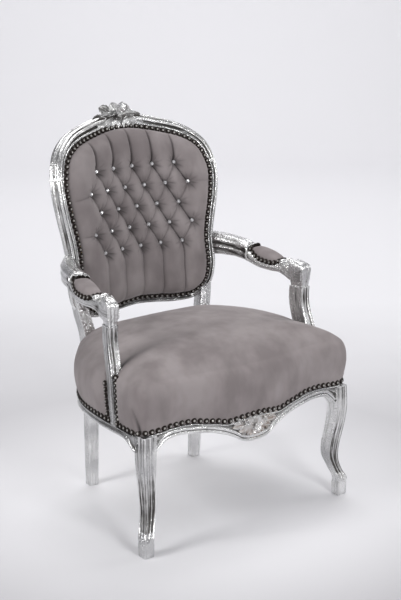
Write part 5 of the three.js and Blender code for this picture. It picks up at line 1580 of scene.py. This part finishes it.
def studio_floor():
    """A pale floor that turns up into a pale wall, with painted shade darkening it towards the camera and a
    pool of painted light under the chair.
    """
    finish = Finish("studio_paper", Roughness=0.85)
    marks = finish.cloud(6, 5)
    places = finish.places()
    ahead = finish.towards(places, FLOOR_AHEAD)
    away = finish.node("VectorMath", {"operation": "LENGTH"}, {0: places}, out="Value")
    # Painted shade: the paper is darker towards the camera than towards the wall.
    far = finish.ramp(ahead * 0.2 + 0.4 + marks * 0.04, (0.1, 0.0), (0.8, 1.0))
    # Painted light: a pale pool on the floor under the chair.
    under = finish.ramp(away * 0.5 + marks * 0.02, (0.15, 1.0), (0.42, 0.0))
    paper = finish.colours(far, (0.33, 0.322, 0.338), (0.8, 0.795, 0.82))
    # Nearest the camera the paper is pale again.
    near = finish.ramp(ahead * 0.2 + 0.4, (0.17, 1.0), (0.25, 0.0))
    paper = finish.colours(near, paper, (0.85, 0.845, 0.86))
    finish.set(Base_Color=finish.colours(under, paper, (0.93, 0.925, 0.95)))
    rows = [(-FLOOR_REACH, 0.0), (COVE_START, 0.0)]
    for a in np.linspace(0.1, math.pi / 2, 14):
        rows.append((COVE_START + COVE_RADIUS * math.sin(a), COVE_RADIUS * (1 - math.cos(a))))
    rows.append((COVE_START + COVE_RADIUS, WALL_HEIGHT))
    turn = np.array(Matrix.Rotation(CAMERA_TURN, 3, "Z"))
    points = [np.array((x, y, z)) @ turn.T for y, z in rows for x in (-FLOOR_REACH, FLOOR_REACH)]
    faces = [(2 * i, 2 * i + 1, 2 * i + 3, 2 * i + 2) for i in range(len(rows) - 1)]
    mesh = bpy.data.meshes.new("studio_floor")
    mesh.from_pydata([tuple(p) for p in points], [], faces)
    mesh.polygons.foreach_set("use_smooth", [True] * len(mesh.polygons))
    mesh.materials.append(finish.material)
    floor = bpy.data.objects.new("studio_floor", mesh)
    scene.collection.objects.link(floor)


def softbox(name, place, target, width, height, power):
    lamp = bpy.data.lights.new(name, "AREA")
    lamp.shape, lamp.size, lamp.size_y, lamp.energy = "RECTANGLE", width, height, power
    light = bpy.data.objects.new(name, lamp)
    light.location = place
    light.rotation_euler = (Vector(target) - Vector(place)).to_track_quat("-Z", "Y").to_euler()
    scene.collection.objects.link(light)


def sky():
    """Light from all round: pale at eye level, darker above it, bright overhead and dim low down behind."""
    scene.world = bpy.data.worlds.new("studio")
    board = NodeBoard(scene.world)
    place = board.node("TexCoord", out="Generated")
    height = board.node("SeparateXYZ", None, {0: place}, out="Z")
    level = board.node("MapRange", None, {"Value": height, "From Min": -1})
    shades = board.ramp(level, *((share, (shade, shade, shade * SKY_BLUE)) for share, shade in SKY_SHADES))
    behind = board.towards(place, SKY_BEHIND_DIRECTION)
    limits = {"From Min": -0.31, "From Max": -0.13, "To Min": 1.0, "To Max": SKY_BEHIND}
    dimmed = board.node("MapRange", None, {"Value": behind, **limits})
    board.give(board.tree.nodes["Background"], "Color", board.scaled(shades, dimmed))


studio_floor()
sky()
softbox("front_light", (-0.4, -3.0, 1.75), (0, 0, 0.35), 0.9, 0.9, 42)
softbox("left_light", (-2.7, 0.1, 2.0), (0, 0, 0.3), 0.9, 0.9, 38)
softbox("right_light", (3.0, -1.0, 1.3), (0, 0, 0.3), 1.2, 1.2, 15)
softbox("top_light", (0.6, 0.6, 3.4), (0, 0, 0.4), 1.6, 1.6, 31)
softbox("wall_light", (1.8, 2.4, 4.2), (3.75, 4.95, 0.4), 5.0, 1.0, 118)

# Camera, where the photograph was taken from: its lens, its place from the seat's middle and its axes
LENS = 82.6
SENSOR = 36
CAMERA_PLACE = np.array((-2035.3, -2701.7, 1464.6))
RIGHT = Vector((0.796081, -0.605179, -0.003622))
UP = Vector((0.162367, 0.207812, 0.964599))
AHEAD = Vector((0.583003, 0.768487, -0.263696))
camera = bpy.data.objects.new("camera", bpy.data.cameras.new("camera"))
camera.data.sensor_width = SENSOR
camera.data.lens = LENS
camera.matrix_world = Matrix((RIGHT, UP, -AHEAD)).transposed().to_4x4()
camera.location = (CAMERA_PLACE + (0, SEAT_Y, 0)) * MM
scene.collection.objects.link(camera)
scene.camera = camera
